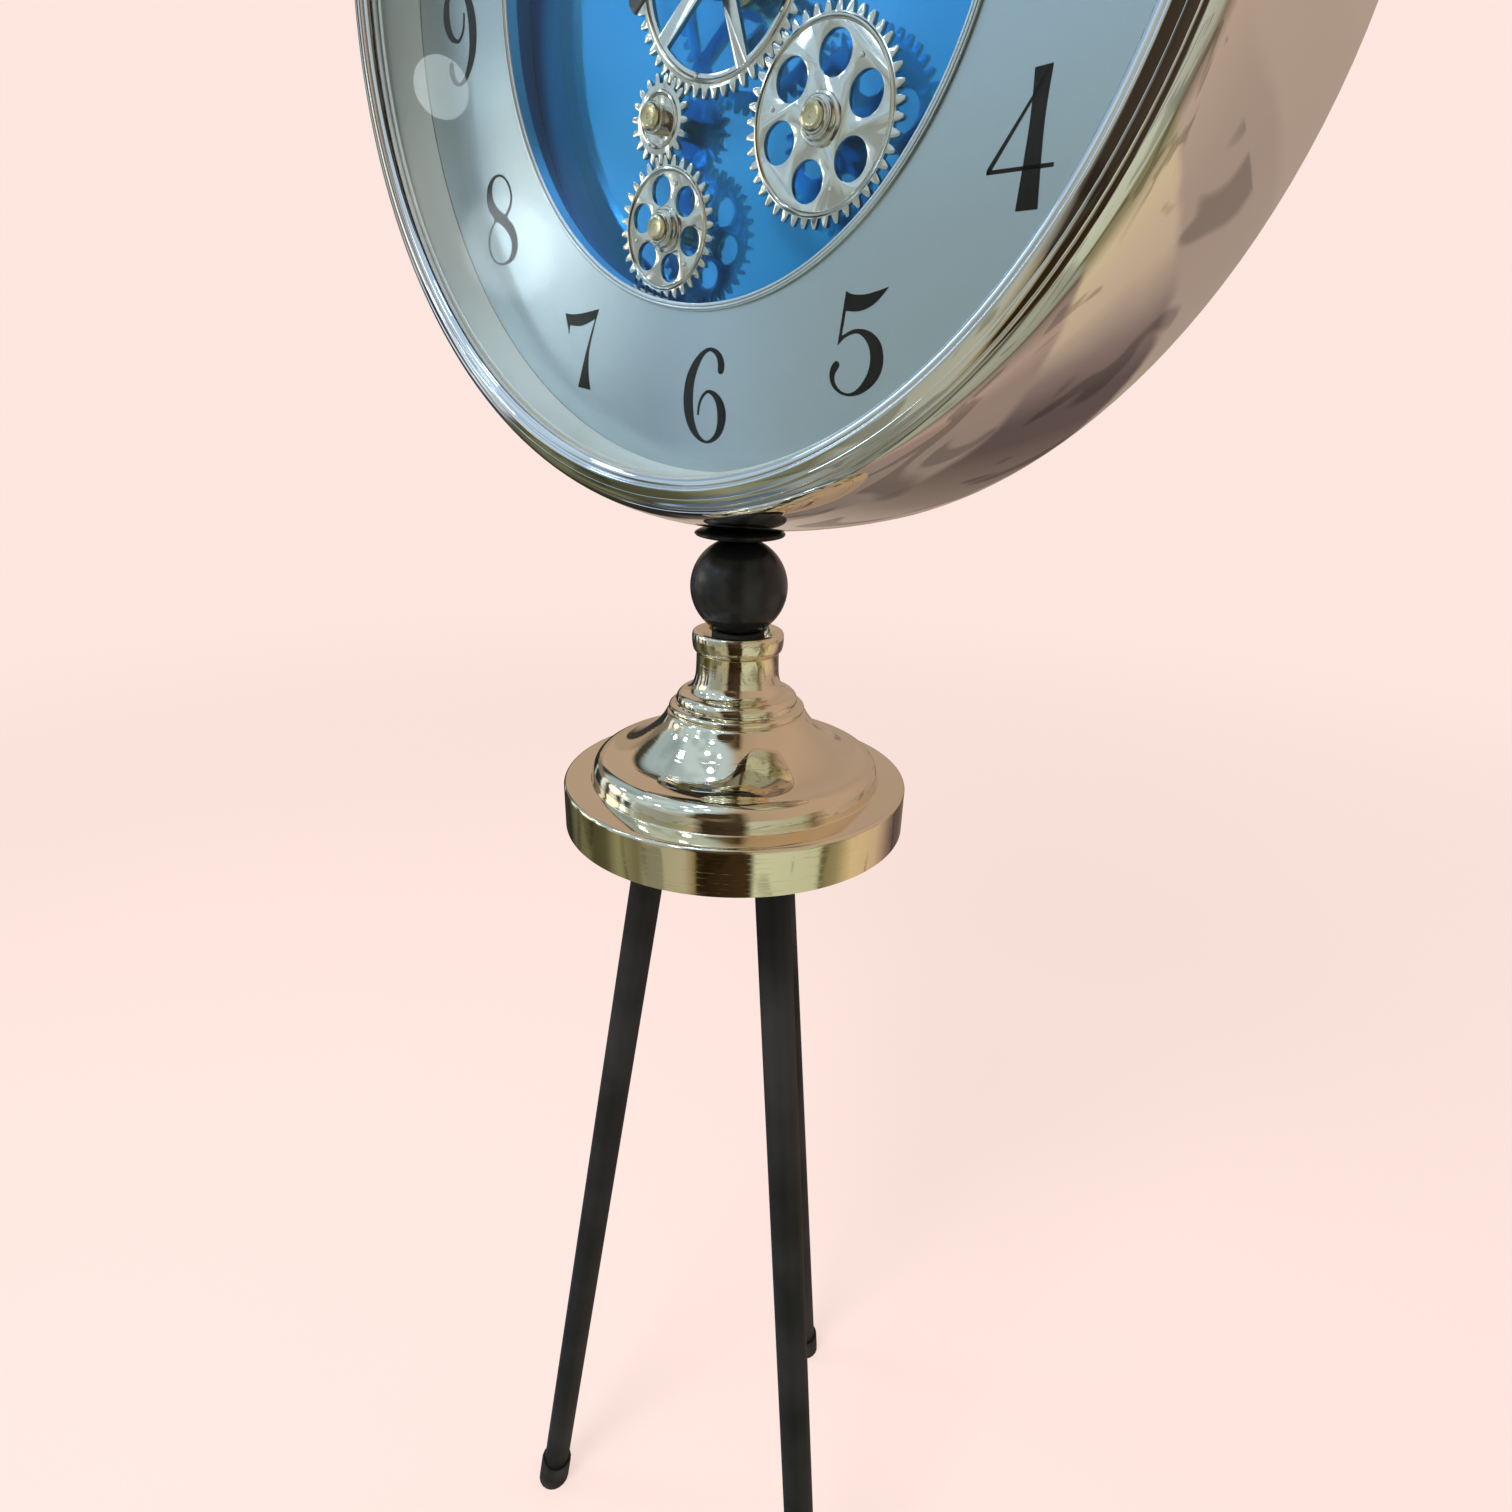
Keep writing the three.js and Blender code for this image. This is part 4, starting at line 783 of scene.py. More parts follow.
def draw_nine():
    """The six turned half round."""
    return [[(32.0 - x, 50.3 - y) for x, y in draw_six()[0]]]


def draw_seven():
    """A waved flag with a spur, on a stem that swells to its foot."""
    top = smooth_path([(0.4, 44.2), (8.0, 43.3), (18.0, 43.8), (31.4, 45.5)], 6)
    edge = [(30.8, 44.6), (26.4, 36.0), (21.2, 23.5), (19.7, 14.8), (19.6, 7.5), (20.6, 0.2)]
    edge = smooth_path(edge, 6)
    inner = smooth_path([(9.2, 1.8), (13.4, 11.6), (18.4, 22.6), (23.9, 33.4), (27.6, 40.2)], 6)
    under = smooth_path([(27.6, 40.2), (21.4, 38.2), (14.6, 36.6), (8.6, 36.8), (4.4, 37.4)], 5)
    spur = smooth_path([(4.4, 37.4), (3.4, 35.0), (2.9, 32.4)], 4)
    side = smooth_path([(2.7, 32.4), (2.0, 37.4), (0.4, 44.2)], 4)
    return [top + edge[1:] + inner + under[1:] + spur[1:] + side[:-1]]


def draw_five():
    """A flag on a thin stem, and a bowl that swells to the right and curls to a drop."""
    top = smooth_path([(7.4, 47.5), (11.3, 46.0), (18.2, 45.6), (25.1, 46.8), (31.4, 48.3)], 6)
    under = [(31.4, 48.3), (29.0, 45.6), (25.1, 42.1), (20.2, 39.5), (14.3, 38.3), (7.9, 38.8)]
    under = smooth_path(under, 6)
    bowl = [
        (6.6, 26.9, 1.6), (11.8, 29.2, 1.8), (16.8, 29.5, 2.4), (22.0, 27.2, 4.6),
        (25.9, 23.0, 6.6), (27.5, 17.6, 7.4), (26.9, 12.0, 7.2), (24.1, 7.2, 5.8), (19.7, 3.2, 3.6),
        (15.3, 1.2, 2.0), (11.3, 0.8, 1.3), (6.9, 2.1, 1.5), (3.2, 5.2, 2.2), (1.8, 8.8, 2.9),
        (2.3, 12.0, 3.7), (3.9, 14.4, 3.9),
    ]
    outline = stroke_sides(bowl, round_end=True)
    split = len(smooth_path(bowl))
    outer = outline[:split]
    rest = outline[split:]
    stem = [(7.9, 38.8), (6.3, 28.0)]
    left = [(4.1, 23.4), (7.4, 47.5)]
    return [top + under[1:] + stem[1:] + outer[1:] + rest[:-1] + left[:-1]]


def draw_eight():
    """Two stacked bowls, thick on the slanted side."""
    outer = smooth_path(
        [
            (16.0, 0.0), (25.0, 2.0), (30.5, 8.0), (31.0, 15.0), (28.0, 21.5), (22.6, 26.6),
            (26.6, 31.0), (28.6, 37.6), (26.4, 44.6), (21.0, 49.2), (15.6, 50.2), (9.6, 48.8),
            (4.6, 44.2), (2.8, 37.6), (4.4, 31.4), (9.2, 25.8), (3.6, 20.4), (1.2, 13.6),
            (2.4, 6.6), (8.4, 1.4), (16.0, 0.0),
        ],
        4,
    )
    lower = smooth_path(
        [
            (15.2, 1.3), (21.4, 3.4), (25.0, 8.6), (24.6, 14.6), (19.6, 20.2), (11.2, 24.6),
            (5.2, 19.4), (2.8, 13.2), (4.2, 6.4), (8.6, 2.4), (15.2, 1.3),
        ],
        4,
    )
    upper = smooth_path(
        [
            (20.6, 28.0), (25.2, 32.6), (27.2, 38.0), (24.8, 44.4), (20.0, 48.2), (15.6, 48.9),
            (11.4, 47.2), (8.8, 42.8), (9.4, 37.0), (14.0, 31.6), (20.6, 28.0),
        ],
        4,
    )
    return [outer[:-1], lower[:-1], upper[:-1]]


def draw_zero():
    """An oval with an oval hole."""
    return [oval(16.0, 25.0, 15.4, 25.2), oval(16.0, 25.0, 9.2, 23.8)]


def draw_one():
    """A flared stem with a slanted flag."""
    right = smooth_path([(16.6, 50.2), (15.4, 36.0), (15.4, 16.0), (17.6, 0.0)], 6)
    left = smooth_path([(6.4, 0.0), (8.8, 16.0), (9.0, 34.0), (8.4, 43.0)], 6)
    flag = smooth_path([(8.4, 43.0), (5.4, 41.2), (1.8, 40.6)], 4)
    over = smooth_path([(1.8, 41.6), (8.0, 44.2), (16.6, 50.2)], 4)
    return [right + left[:-1] + flag + over[:-1]]


def draw_two():
    """A drop and a hook that sweeps down to a waved foot."""
    hook = [
        (5.0, 35.4, 4.4), (4.6, 40.0, 4.2), (7.6, 45.6, 2.6), (14.4, 49.2, 1.8), (21.6, 46.8, 4.6),
        (25.6, 40.4, 6.8), (24.4, 31.6, 6.4), (18.6, 21.6, 3.6), (10.6, 12.0, 2.0), (3.4, 3.8, 1.4),
    ]
    top = [(1.6, 1.0), (6.8, 7.8), (13.0, 8.4), (21.4, 5.2), (27.4, 6.6), (29.8, 12.6)]
    top = smooth_path(top, 5)
    foot = [(30.6, 12.6), (29.4, 4.2), (25.8, 0.2), (19.0, 0.6), (10.8, 2.6), (1.6, 0.0)]
    foot = smooth_path(foot, 5)
    return [stroke_sides(hook, round_start=True), top + foot]


def draw_three():
    """Two bowls that open to the left, each with a drop."""
    upper = [
        (4.8, 39.2, 4.0), (4.4, 42.8, 3.8), (8.4, 47.8, 2.2), (14.4, 49.3, 1.8), (21.0, 46.6, 4.6),
        (23.6, 40.6, 6.2), (21.0, 34.0, 5.0), (14.4, 28.6, 1.8),
    ]
    lower = [
        (13.6, 28.4, 1.8), (20.6, 27.4, 3.0), (25.8, 22.8, 6.0), (27.4, 15.6, 7.2),
        (25.0, 7.4, 6.0), (19.0, 2.0, 3.2), (12.0, 0.9, 1.6), (5.6, 3.4, 1.8), (2.6, 7.6, 3.2),
        (3.4, 11.6, 4.2),
    ]
    return [stroke_sides(upper, round_start=True), stroke_sides(lower, round_end=True)]


def draw_four():
    """A thick stem behind a thin diagonal and bar."""
    stem = smooth_path([(18.0, 49.8), (18.4, 30.0), (16.6, 0.0)], 6)
    back = smooth_path([(26.4, 0.0), (24.8, 30.0), (25.6, 50.2)], 6)
    diagonal = [(25.0, 50.2), (1.6, 16.4), (1.6, 14.6), (3.6, 14.6), (3.8, 16.2), (22.0, 44.0)]
    bar = [(1.6, 14.6), (31.0, 14.6), (31.0, 16.2), (1.6, 16.2)]
    return [stem + back, diagonal, bar]


DIGITS = (
    draw_zero, draw_one, draw_two, draw_three, draw_four,
    draw_five, draw_six, draw_seven, draw_eight, draw_nine,
)
# Figures whose inner outlines are holes, and figures narrower than the others
HOLED = {"0", "8"}
NARROW = {"1": 19.0}


def lay_upright(piece, y):
    """Turns a flat piece upright, square to the dial, and moves it to a depth."""
    piece.data.transform(Matrix.Rotation(math.pi / 2, 4, "X"))
    piece.data.transform(Matrix.Translation((0, y, 0)))


def filled_outline(name, outlines, thickness):
    """A thin flat solid inside outlines given in metres as x and z."""
    data = bpy.data.curves.new(name, "CURVE")
    data.dimensions = "2D"
    data.fill_mode = "BOTH"
    data.extrude = thickness / 2
    for outline in outlines:
        spline = data.splines.new("POLY")
        spline.points.add(len(outline) - 1)
        for point, (x, y) in zip(spline.points, outline):
            point.co = (x, y, 0.0, 1.0)
        spline.use_cyclic_u = True
    piece = bpy.data.objects.new(name, data)
    bpy.context.scene.collection.objects.link(piece)
    select_only(piece)
    bpy.ops.object.convert(target="MESH")
    return name_active(name)


def make_figure(name, digit, left, foot, scale, thickness):
    """One digit as printed ink, standing at a left edge and a foot in metres."""
    outlines = DIGITS[int(digit)]()
    placed = [[(left + x * scale, foot + y * scale) for x, y in outline] for outline in outlines]
    groups = [placed] if digit in HOLED else [[outline] for outline in placed]
    pieces = [filled_outline(f"{name}_{i}", group, thickness) for i, group in enumerate(groups)]
    return join_pieces(name, pieces) if len(pieces) > 1 else pieces[0]


class CLOCK_OT_numerals(bpy.types.Operator):
    """Prints the twelve upright numerals on the dial"""

    bl_idname = "clock.numerals"
    bl_label = "Numerals"

    def execute(self, context):
        sizes = context.scene.clock_sizes
        scale = sizes.numeral_height / FIGURE_HEIGHT
        lift = sizes.ink_thickness
        gap = FIGURE_GAP * scale
        for hour in range(1, 13):
            angle = math.radians(90 - 30 * hour)
            x = DIAL.x + sizes.numeral_circle * math.cos(angle)
            z = DIAL.z + sizes.numeral_circle * math.sin(angle)
            text = str(hour)
            widths = [NARROW.get(digit, FIGURE_WIDTH) * scale for digit in text]
            left = x - (sum(widths) + gap * (len(text) - 1)) / 2
            foot = z - FIGURE_MIDDLE * scale
            figures = []
            for place, digit in enumerate(text):
                name = f"ink_{hour}_{place}"
                figures.append(make_figure(name, digit, left, foot, scale, lift))
                left += widths[place] + gap
            label = join_pieces(f"numeral_{hour}", figures) if len(figures) > 1 else figures[0]
            label.name = f"numeral_{hour}"
            lay_upright(label, DIAL_Y - lift / 2 - INK_GAP)
            hand_over(label, BODY, "dial_metal", FINISHES["ink"])
        return {"FINISHED"}


# Gear train: the same tooth counts and phases as the CAD wheels, in millimetres

MODULE = 2.1
ADDENDUM, DEDENDUM = 0.95 * MODULE, 1.25 * MODULE
PRESSURE_ANGLE, BACKLASH = 20, 0.7
TEETH = {
    "centre_wheel": 54,
    "lower_wheel": 32,
    "right_wheel": 42,
    "idler_wheel": 18,
    "upper_wheel": 36,
    "motor_pinion": 12,
}
GEAR_BODIES = {
    "centre_wheel": "centre_gear",
    "lower_wheel": "lower_gear",
    "right_wheel": "right_gear",
    "idler_wheel": "idler_gear",
    "upper_wheel": "upper_gear",
    "motor_pinion": "pinion",
}
# Circle and radius of a wheel's six holes, and the first hole's angle in degrees
HOLES = {"lower_wheel": (19.4, 7.4, 39), "right_wheel": (26, 9.5, 15), "upper_wheel": (22, 8, 0)}
WHEEL_BACK, WHEEL_FRONT = -12.5, -9.5
WHEEL_Y = DIAL_Y - WHEEL_BACK * MM
# Rounding of a wheel's edges, in metres
WHEEL_EDGE = 0.00022
POST_BORE, CENTRE_BORE = 3.4, 8.7
SPOKES, HALF_SPOKE = 5, 4.0


def wheel_place(wheel):
    """The point that a wheel turns about, from its joint."""
    return Vector(JOINT_PLACES[GEAR_BODIES[wheel]])


def mesh_turn(wheel, neighbour, neighbour_turn):
    """The turn that sets a wheel's teeth in its neighbour's gaps."""
    here, there = wheel_place(wheel), wheel_place(neighbour)
    direction = math.atan2(here.z - there.z, here.x - there.x)
    count = TEETH[wheel]
    shift = (neighbour_turn - direction) * TEETH[neighbour] / count
    return direction + math.pi + math.pi / count - shift


def wheel_turns():
    """Every wheel's turn at rest, starting from the centre wheel."""
    turns = {"centre_wheel": 0.0}
    for wheel in ("right_wheel", "upper_wheel", "idler_wheel", "motor_pinion"):
        turns[wheel] = mesh_turn(wheel, "centre_wheel", 0.0)
    turns["lower_wheel"] = mesh_turn("lower_wheel", "idler_wheel", turns["idler_wheel"])
    return turns


def tooth_outline(count):
    """Polar points of one tooth: radius, and angle from the middle of the tooth."""
    pitch = MODULE * count / 2
    root, tip = pitch - DEDENDUM, pitch + ADDENDUM
    half = math.pi / (2 * count) - BACKLASH / (4 * pitch)
    base = pitch * math.cos(math.radians(PRESSURE_ANGLE))

    def involute(radius):
        angle = math.acos(min(1.0, base / radius))
        return math.tan(angle) - angle

    flank = [root, (root + pitch) / 2, pitch, (pitch + tip) / 2, tip]
    rising = [(radius, -(half + involute(pitch) - involute(radius))) for radius in flank]
    falling = [(radius, -angle) for radius, angle in reversed(rising)]
    return rising + falling


def toothed_blank(name, wheel, turn):
    """A flat toothed wheel, drawn by moving a circle's points to the teeth and extruding it."""
    centre = wheel_place(wheel)
    count = TEETH[wheel]
    tooth = tooth_outline(count)
    points = count * len(tooth)
    clear_selection()
    bpy.ops.mesh.primitive_circle_add(vertices=points, radius=0.01, fill_type="NGON")
    piece = name_active(name)
    for i, vertex in enumerate(piece.data.vertices):
        radius, offset = tooth[i % len(tooth)]
        angle = turn + 2 * math.pi * (i // len(tooth)) / count + offset
        x, z = radius * MM * math.cos(angle), radius * MM * math.sin(angle)
        vertex.co = (centre.x + x, WHEEL_Y, centre.z + z)
    bpy.ops.object.mode_set(mode="EDIT")
    bpy.ops.mesh.select_all(action="SELECT")
    move = {"value": (0, -(WHEEL_FRONT - WHEEL_BACK) * MM, 0)}
    bpy.ops.mesh.extrude_region_move(TRANSFORM_OT_translate=move)
    bpy.ops.mesh.select_all(action="SELECT")
    bpy.ops.mesh.normals_make_consistent(inside=False)
    bpy.ops.object.mode_set(mode="OBJECT")
    return piece


def cut_round_hole(piece, centre, radius):
    """Drills a round hole through a wheel, square to the dial."""
    clear_selection()
    place, upright = (centre.x, WHEEL_Y, centre.z), (math.pi / 2, 0, 0)
    bpy.ops.mesh.primitive_cylinder_add(
        vertices=40, radius=radius * MM, depth=0.06, location=place, rotation=upright
    )
    cut_with(piece, bpy.context.active_object)


def cut_spoke_window(piece, centre, middle, inner, outer):
    """Cuts one window between two spokes, with its middle at an angle."""
    outline = []
    for radius, order in ((outer, 1), (inner, -1)):
        half = math.pi / SPOKES - math.asin(HALF_SPOKE / radius)
        for k in range(13):
            angle = middle + order * half * (k / 6 - 1)
            x, z = radius * MM * math.cos(angle), radius * MM * math.sin(angle)
            outline.append((centre.x + x, centre.z + z))
    cutter = filled_outline("window_cutter", [outline], 0.03)
    lay_upright(cutter, WHEEL_Y)
    cut_with(piece, cutter)


def on_circle(centre, radius, degrees):
    """A point on a circle round a centre, as seen from the front."""
    angle = math.radians(degrees)
    x, z = radius * MM * math.cos(angle), radius * MM * math.sin(angle)
    return Vector((centre.x + x, centre.y, centre.z + z))


def stepped_hub(name, centre, bore, radius):
    """A turned hub with two steps and a grooved collar."""
    profile = [
        (bore, -13.5), (radius + 2, -13.5), (radius + 2, -8.2), (radius + 1.6, -7.8),
        (radius + 0.4, -7.6), (radius, -7.2), (radius, -5.2), (radius - 0.5, -4.8),
        (radius - 1.2, -4.7), (radius - 1.2, -4.2), (radius - 2, -4.0), (radius - 2, -2.9),
        (radius - 2.4, -2.5), (bore, -2.5),
    ]
    return turn_on_head(name, profile, 64, centre)


def raised_ridge(name, centre, radius):
    """A round ridge inside the teeth, with sloping sides."""
    section = ((-1.5, -0.4), (1.0, -0.4), (1.0, 0.4), (0.5, 1.0), (-0.3, 1.2), (-1.1, 0.7))
    profile = [(radius + out, WHEEL_FRONT + up) for out, up in (*section, (-1.5, 0.1))]
    return turn_on_head(name, profile, 96, centre)


def pin_head(name, centre, radius=1.2):
    """A small domed rivet on a wheel's web."""
    section = ((0.0, -0.3), (1.0, -0.3), (1.0, 0.3), (0.7, 0.8), (0.0, 1.0))
    profile = [(radius * share, WHEEL_FRONT + up) for share, up in section]
    return turn_on_head(name, profile, 20, centre)


class CLOCK_OT_wheels(bpy.types.Operator):
    """Cuts the toothed wheels with their windows, ridges, hubs and rivets"""

    bl_idname = "clock.wheels"
    bl_label = "Gear wheels"

    def execute(self, context):
        turns = wheel_turns()
        for wheel, holes in HOLES.items():
            self.make_drilled_wheel(wheel, turns[wheel], *holes)
        self.make_idler(turns["idler_wheel"])
        self.make_centre_wheel()
        self.make_pinion(turns["motor_pinion"])
        return {"FINISHED"}

    def finish_wheel(self, wheel, parts, slot="gear_metal"):
        """Joins a wheel's parts and hands them over."""
        piece = join_pieces(wheel + "_cut", parts)
        finish_piece(piece, wheel, slot, body=GEAR_BODIES[wheel])

    def make_drilled_wheel(self, wheel, turn, circle, radius, first):
        """A wheel with six round holes, a stepped hub and three rivets."""
        centre = wheel_place(wheel)
        blank = toothed_blank(wheel + "_blank", wheel, turn)
        for k in range(6):
            cut_round_hole(blank, on_circle(centre, circle, first + 60 * k), radius)
        cut_round_hole(blank, centre, POST_BORE)
        soften_edges(blank, WHEEL_EDGE)
        ridge = MODULE * TEETH[wheel] / 2 - DEDENDUM - 1.6
        parts = [blank, stepped_hub(wheel + "_hub", centre, POST_BORE, 9.5)]
        parts.append(raised_ridge(wheel + "_ridge", centre, ridge))
        for k in range(3):
            place = on_circle(centre, circle + radius / 2, first + 30 + 120 * k)
            parts.append(pin_head(f"{wheel}_pin_{k}", place))
        self.finish_wheel(wheel, parts)

    def make_idler(self, turn):
        """A small wheel with a plain hub."""
        centre = wheel_place("idler_wheel")
        blank = toothed_blank("idler_blank", "idler_wheel", turn)
        cut_round_hole(blank, centre, POST_BORE)
        soften_edges(blank, WHEEL_EDGE)
        hub = [(POST_BORE, -13.5), (7.5, -13.5), (7.5, -3.0), (7.0, -2.5), (POST_BORE, -2.5)]
        parts = [blank, turn_on_head("idler_hub", hub, 48, centre)]
        parts.append(raised_ridge("idler_ridge", centre, 12.6))
        self.finish_wheel("idler_wheel", parts)

    def make_centre_wheel(self):
        """The large wheel with its spokes, two ridges and a rivet on each spoke's end."""
        centre = wheel_place("centre_wheel")
        blank = toothed_blank("centre_blank", "centre_wheel", 0.0)
        for k in range(SPOKES):
            cut_spoke_window(blank, centre, 2 * math.pi * (k + 0.5) / SPOKES, 17.8, 48.0)
        cut_round_hole(blank, centre, CENTRE_BORE)
        soften_edges(blank, WHEEL_EDGE)
        hub = [(CENTRE_BORE, -13.5), (13.8, -13.5), (13.8, -3.4), (13.2, -2.8), (11.4, -2.5)]
        hub.append((CENTRE_BORE, -2.5))
        parts = [blank, turn_on_head("centre_hub", hub, 64, centre)]
        parts.append(raised_ridge("centre_ridge", centre, 51.4))
        parts.append(raised_ridge("centre_inner_ridge", centre, 16.4))
        for k in range(SPOKES):
            place = on_circle(centre, 50.0, 72 * k + 36)
            parts.append(pin_head(f"centre_pin_{k}", place, 1.0))
        self.finish_wheel("centre_wheel", parts)

    def make_pinion(self, turn):
        """The motor's pinion on its shaft."""
        centre = wheel_place("motor_pinion")
        blank = toothed_blank("pinion_blank", "motor_pinion", turn)
        soften_edges(blank, 0.0002)
        shaft = [(0.0, -40.8), (2.0, -40.8), (2.0, -9.0), (1.6, -8.6), (0.0, -8.6)]
        parts = [blank, turn_on_head("pinion_shaft", shaft, 32, centre)]
        self.finish_wheel("motor_pinion", parts, "bearing_brass")


class CLOCK_OT_posts(bpy.types.Operator):
    """Turns the wheel posts, the centre bearing, its collar and its nut"""

    bl_idname = "clock.posts"
    bl_label = "Posts and bearing"

    def execute(self, context):
        post = [
            (0.0, -27.1), (6.0, -27.1), (6.0, -14.2), (5.7, -13.9), (3.0, -13.8), (3.0, -2.2),
            (6.3, -2.2), (6.5, -2.0), (5.9, -1.0), (4.6, -0.6), (3.4, -0.9), (1.4, -0.9),
            (1.1, -1.3), (0.0, -1.3),
        ]
        for side in ("lower", "right", "upper", "idler"):
            node = side + "_post"
            piece = turn_on_head(node + "_turned", post, 48, wheel_place(side + "_wheel"))
            finish_piece(piece, node, "bearing_brass")
        bearing = [
            (5.3, -27.1), (17.0, -27.1), (17.0, -25.0), (16.6, -24.6), (10.8, -24.6),
            (10.8, -14.2), (10.4, -13.8), (8.3, -13.8), (8.3, -0.5), (7.9, -0.1), (5.3, -0.1),
        ]
        collar = [(8.6, -2.2), (12.0, -2.2), (12.2, -2.0), (12.2, -0.8), (11.8, -0.4), (8.6, -0.4)]
        for node, profile in (("centre_bearing", bearing), ("bearing_collar", collar)):
            piece = turn_on_head(node + "_turned", profile, 64, wheel_place("centre_wheel"))
            finish_piece(piece, node, "bearing_brass")
        finish_copy("bushing_nut_hex", "bushing_nut", "bearing_brass", 0.0004)
        return {"FINISHED"}


class CLOCK_OT_hands(bpy.types.Operator):
    """Shapes the two hands, their tubes and the cap nut"""

    bl_idname = "clock.hands"
    bl_label = "Hands"

    def execute(self, context):
        centre = wheel_place("centre_wheel")
        for body, width in (("hour", 0.0005), ("minute", 0.00045)):
            node = body + "_hand"
            finish_copy(node + "_shaped", node, "satin_black", width, "hand", body)
        tube = [(2.7, -13.0), (3.7, -13.0), (3.7, 9.9), (3.4, 10.2), (2.7, 10.2)]
        piece = turn_on_head("hour_tube_turned", tube, 40, centre)
        finish_piece(piece, "hour_tube", "bearing_brass", body="hour")
        arbor = [(0.0, -16.0), (2.3, -16.0), (2.3, 18.2), (1.9, 18.7), (0.0, 18.7)]
        piece = turn_on_head("minute_arbor_turned", arbor, 40, centre)
        finish_piece(piece, "minute_arbor", "bearing_brass", body="minute")
        cap = [(2.6, 15.7), (6.2, 15.7), (6.5, 16.0), (6.5, 17.0), (6.1, 17.4)]
        cap += [*curve((6.1, 17.4), (5.6, 18.9), (4.6, 19.6), (3.4, 19.7), 5), (2.6, 19.6)]
        piece = turn_on_head("hand_nut_turned", cap, 48, centre)
        finish_piece(piece, "hand_nut", "bearing_brass", body="minute", angle=40)
        return {"FINISHED"}


# Stand

BALL_RADIUS = 31.5
# The pedestal, the seat, the ball and the washer have the same bore
BORE = 5.4
# The legs' ends are told apart by this height in metres
MIDWAY = 0.5
LEG_RADIUS = 0.012
THREAD_PITCH = 1.25


def pedestal_outline():
    """The pedestal's outside, from its foot up to the hole in its dish."""
    return [
        (117.5, 0.0), (117.5, 28.3),
        *arc((114.9, 28.4), 2.6, 10, 90, 6),
        (112.0, 31.0), (99.6, 31.0),
        *arc((99.6, 31.8), 0.8, 270, 190, 3),
        *curve((98.7, 32.0), (98.7, 38.5), (96.0, 47.2), (86.5, 47.9), 16),
        *curve((86.5, 47.9), (79.0, 48.5), (70.5, 53.0), (61.5, 60.4), 14),
        *curve((61.5, 60.4), (55.5, 65.2), (51.0, 70.0), (48.2, 75.2), 10),
        *curve((48.2, 75.2), (47.4, 76.8), (46.4, 78.0), (44.9, 78.5), 4),
        *curve((44.9, 78.5), (46.7, 79.8), (46.0, 82.8), (42.0, 83.4), 7),
        (41.5, 83.7), (41.5, 84.5), (40.8, 85.0),
        *curve((40.8, 85.0), (41.0, 88.2), (38.9, 91.4), (34.2, 91.9), 8),
        *curve((34.2, 91.9), (30.2, 94.0), (28.2, 98.0), (27.7, 105.0), 9),
        (27.4, 112.0), (27.4, 117.6),
        *curve((27.4, 117.6), (27.5, 118.7), (28.9, 119.0), (29.4, 120.4), 5),
        *curve((29.4, 120.4), (30.4, 123.0), (30.4, 128.0), (30.2, 129.6), 5),
        *curve((30.2, 129.6), (30.0, 131.8), (28.8, 132.5), (27.0, 132.4), 5),
        *curve((27.0, 132.4), (24.0, 132.0), (21.6, 129.6), (20.4, 126.5), 6),
        (5.4, 126.5),
    ]


def pedestal_inside():
    """The inside of the spun sheet, from the dish back to the foot."""
    return [
        (5.4, 124.5), (25.4, 124.5), (25.4, 103.0), (29.4, 90.0), (42.0, 75.6), (59.5, 58.4),
        (73.0, 50.1), (84.4, 46.0), (94.0, 40.0), (96.4, 29.0), (115.5, 29.0), (115.5, 0.0),
    ]


class CLOCK_OT_pedestal(bpy.types.Operator):
    """Turns the plated pedestal"""

    bl_idname = "clock.pedestal"
    bl_label = "Pedestal"

    def execute(self, context):
        steps = context.scene.clock_sizes.turning_steps
        piece = turn_on_stand("pedestal_plated", pedestal_outline() + pedestal_inside(), steps)
        finish_piece(piece, "pedestal", "champagne_plate", angle=38)
        return {"FINISHED"}


class CLOCK_OT_neck(bpy.types.Operator):
    """Turns the ball, its seat, the washer and the saddle pad"""

    bl_idname = "clock.neck"
    bl_label = "Ball joint"

    def execute(self, context):
        low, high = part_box("ball")
        centre = ((low.z + high.z) / 2 - BASE_Z) / MM
        flat = (high.z - low.z) / 2 / MM
        tilt = math.degrees(math.asin(flat / BALL_RADIUS))
        rounds = arc((0.0, centre), BALL_RADIUS, -tilt, tilt, 48)
        outline = [(BORE, centre - flat), *rounds, (BORE, centre + flat)]
        finish_piece(turn_on_stand("ball_black", outline, 96), "ball", "satin_black", angle=40)
        finish_copy("ball_seat_rubber", "ball_seat", "black_rubber", 0.0002)
        self.make_washer()
        self.make_pad()
        return {"FINISHED"}

    def make_washer(self):
        """A thin disc with a turned-up rim."""
        low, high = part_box("neck_washer")
        bottom, top = (low.z - BASE_Z) / MM, (high.z - BASE_Z) / MM
        rim = ((19.0, bottom), (23.0, bottom + 0.1), (26.4, bottom + 0.8), (27.8, top - 0.5))
        disc = [(BORE, bottom), (19.0, bottom), *curve(*rim, 7)]
        disc += [(28.0, top - 0.3), (27.9, top), (BORE, top)]
        washer = turn_on_stand("washer_black", disc, 128)
        finish_piece(washer, "neck_washer", "satin_black", angle=40)

    def make_pad(self):
        """The CAD pad, kept inside a dome that rises towards its middle."""
        pad = refined_copy("saddle_pad_black", "saddle_pad", 0.0002)
        foot = (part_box("saddle_pad")[0].z - BASE_Z) / MM
        rise = ((28.8, foot + 0.7), (27.4, foot + 2.4), (22.0, foot + 3.8), (16.0, foot + 4.6))
        slope = [(0.0, foot - 1.0), (30.0, foot - 1.0), (30.0, foot + 0.3), (28.8, foot + 0.7)]
        slope += [*curve(*rise, 8), (0.0, foot + 7.4)]
        cut_with(pad, turn_on_stand("pad_dome", slope, 128), "INTERSECT")
        finish_piece(pad, "saddle_pad", "satin_black")


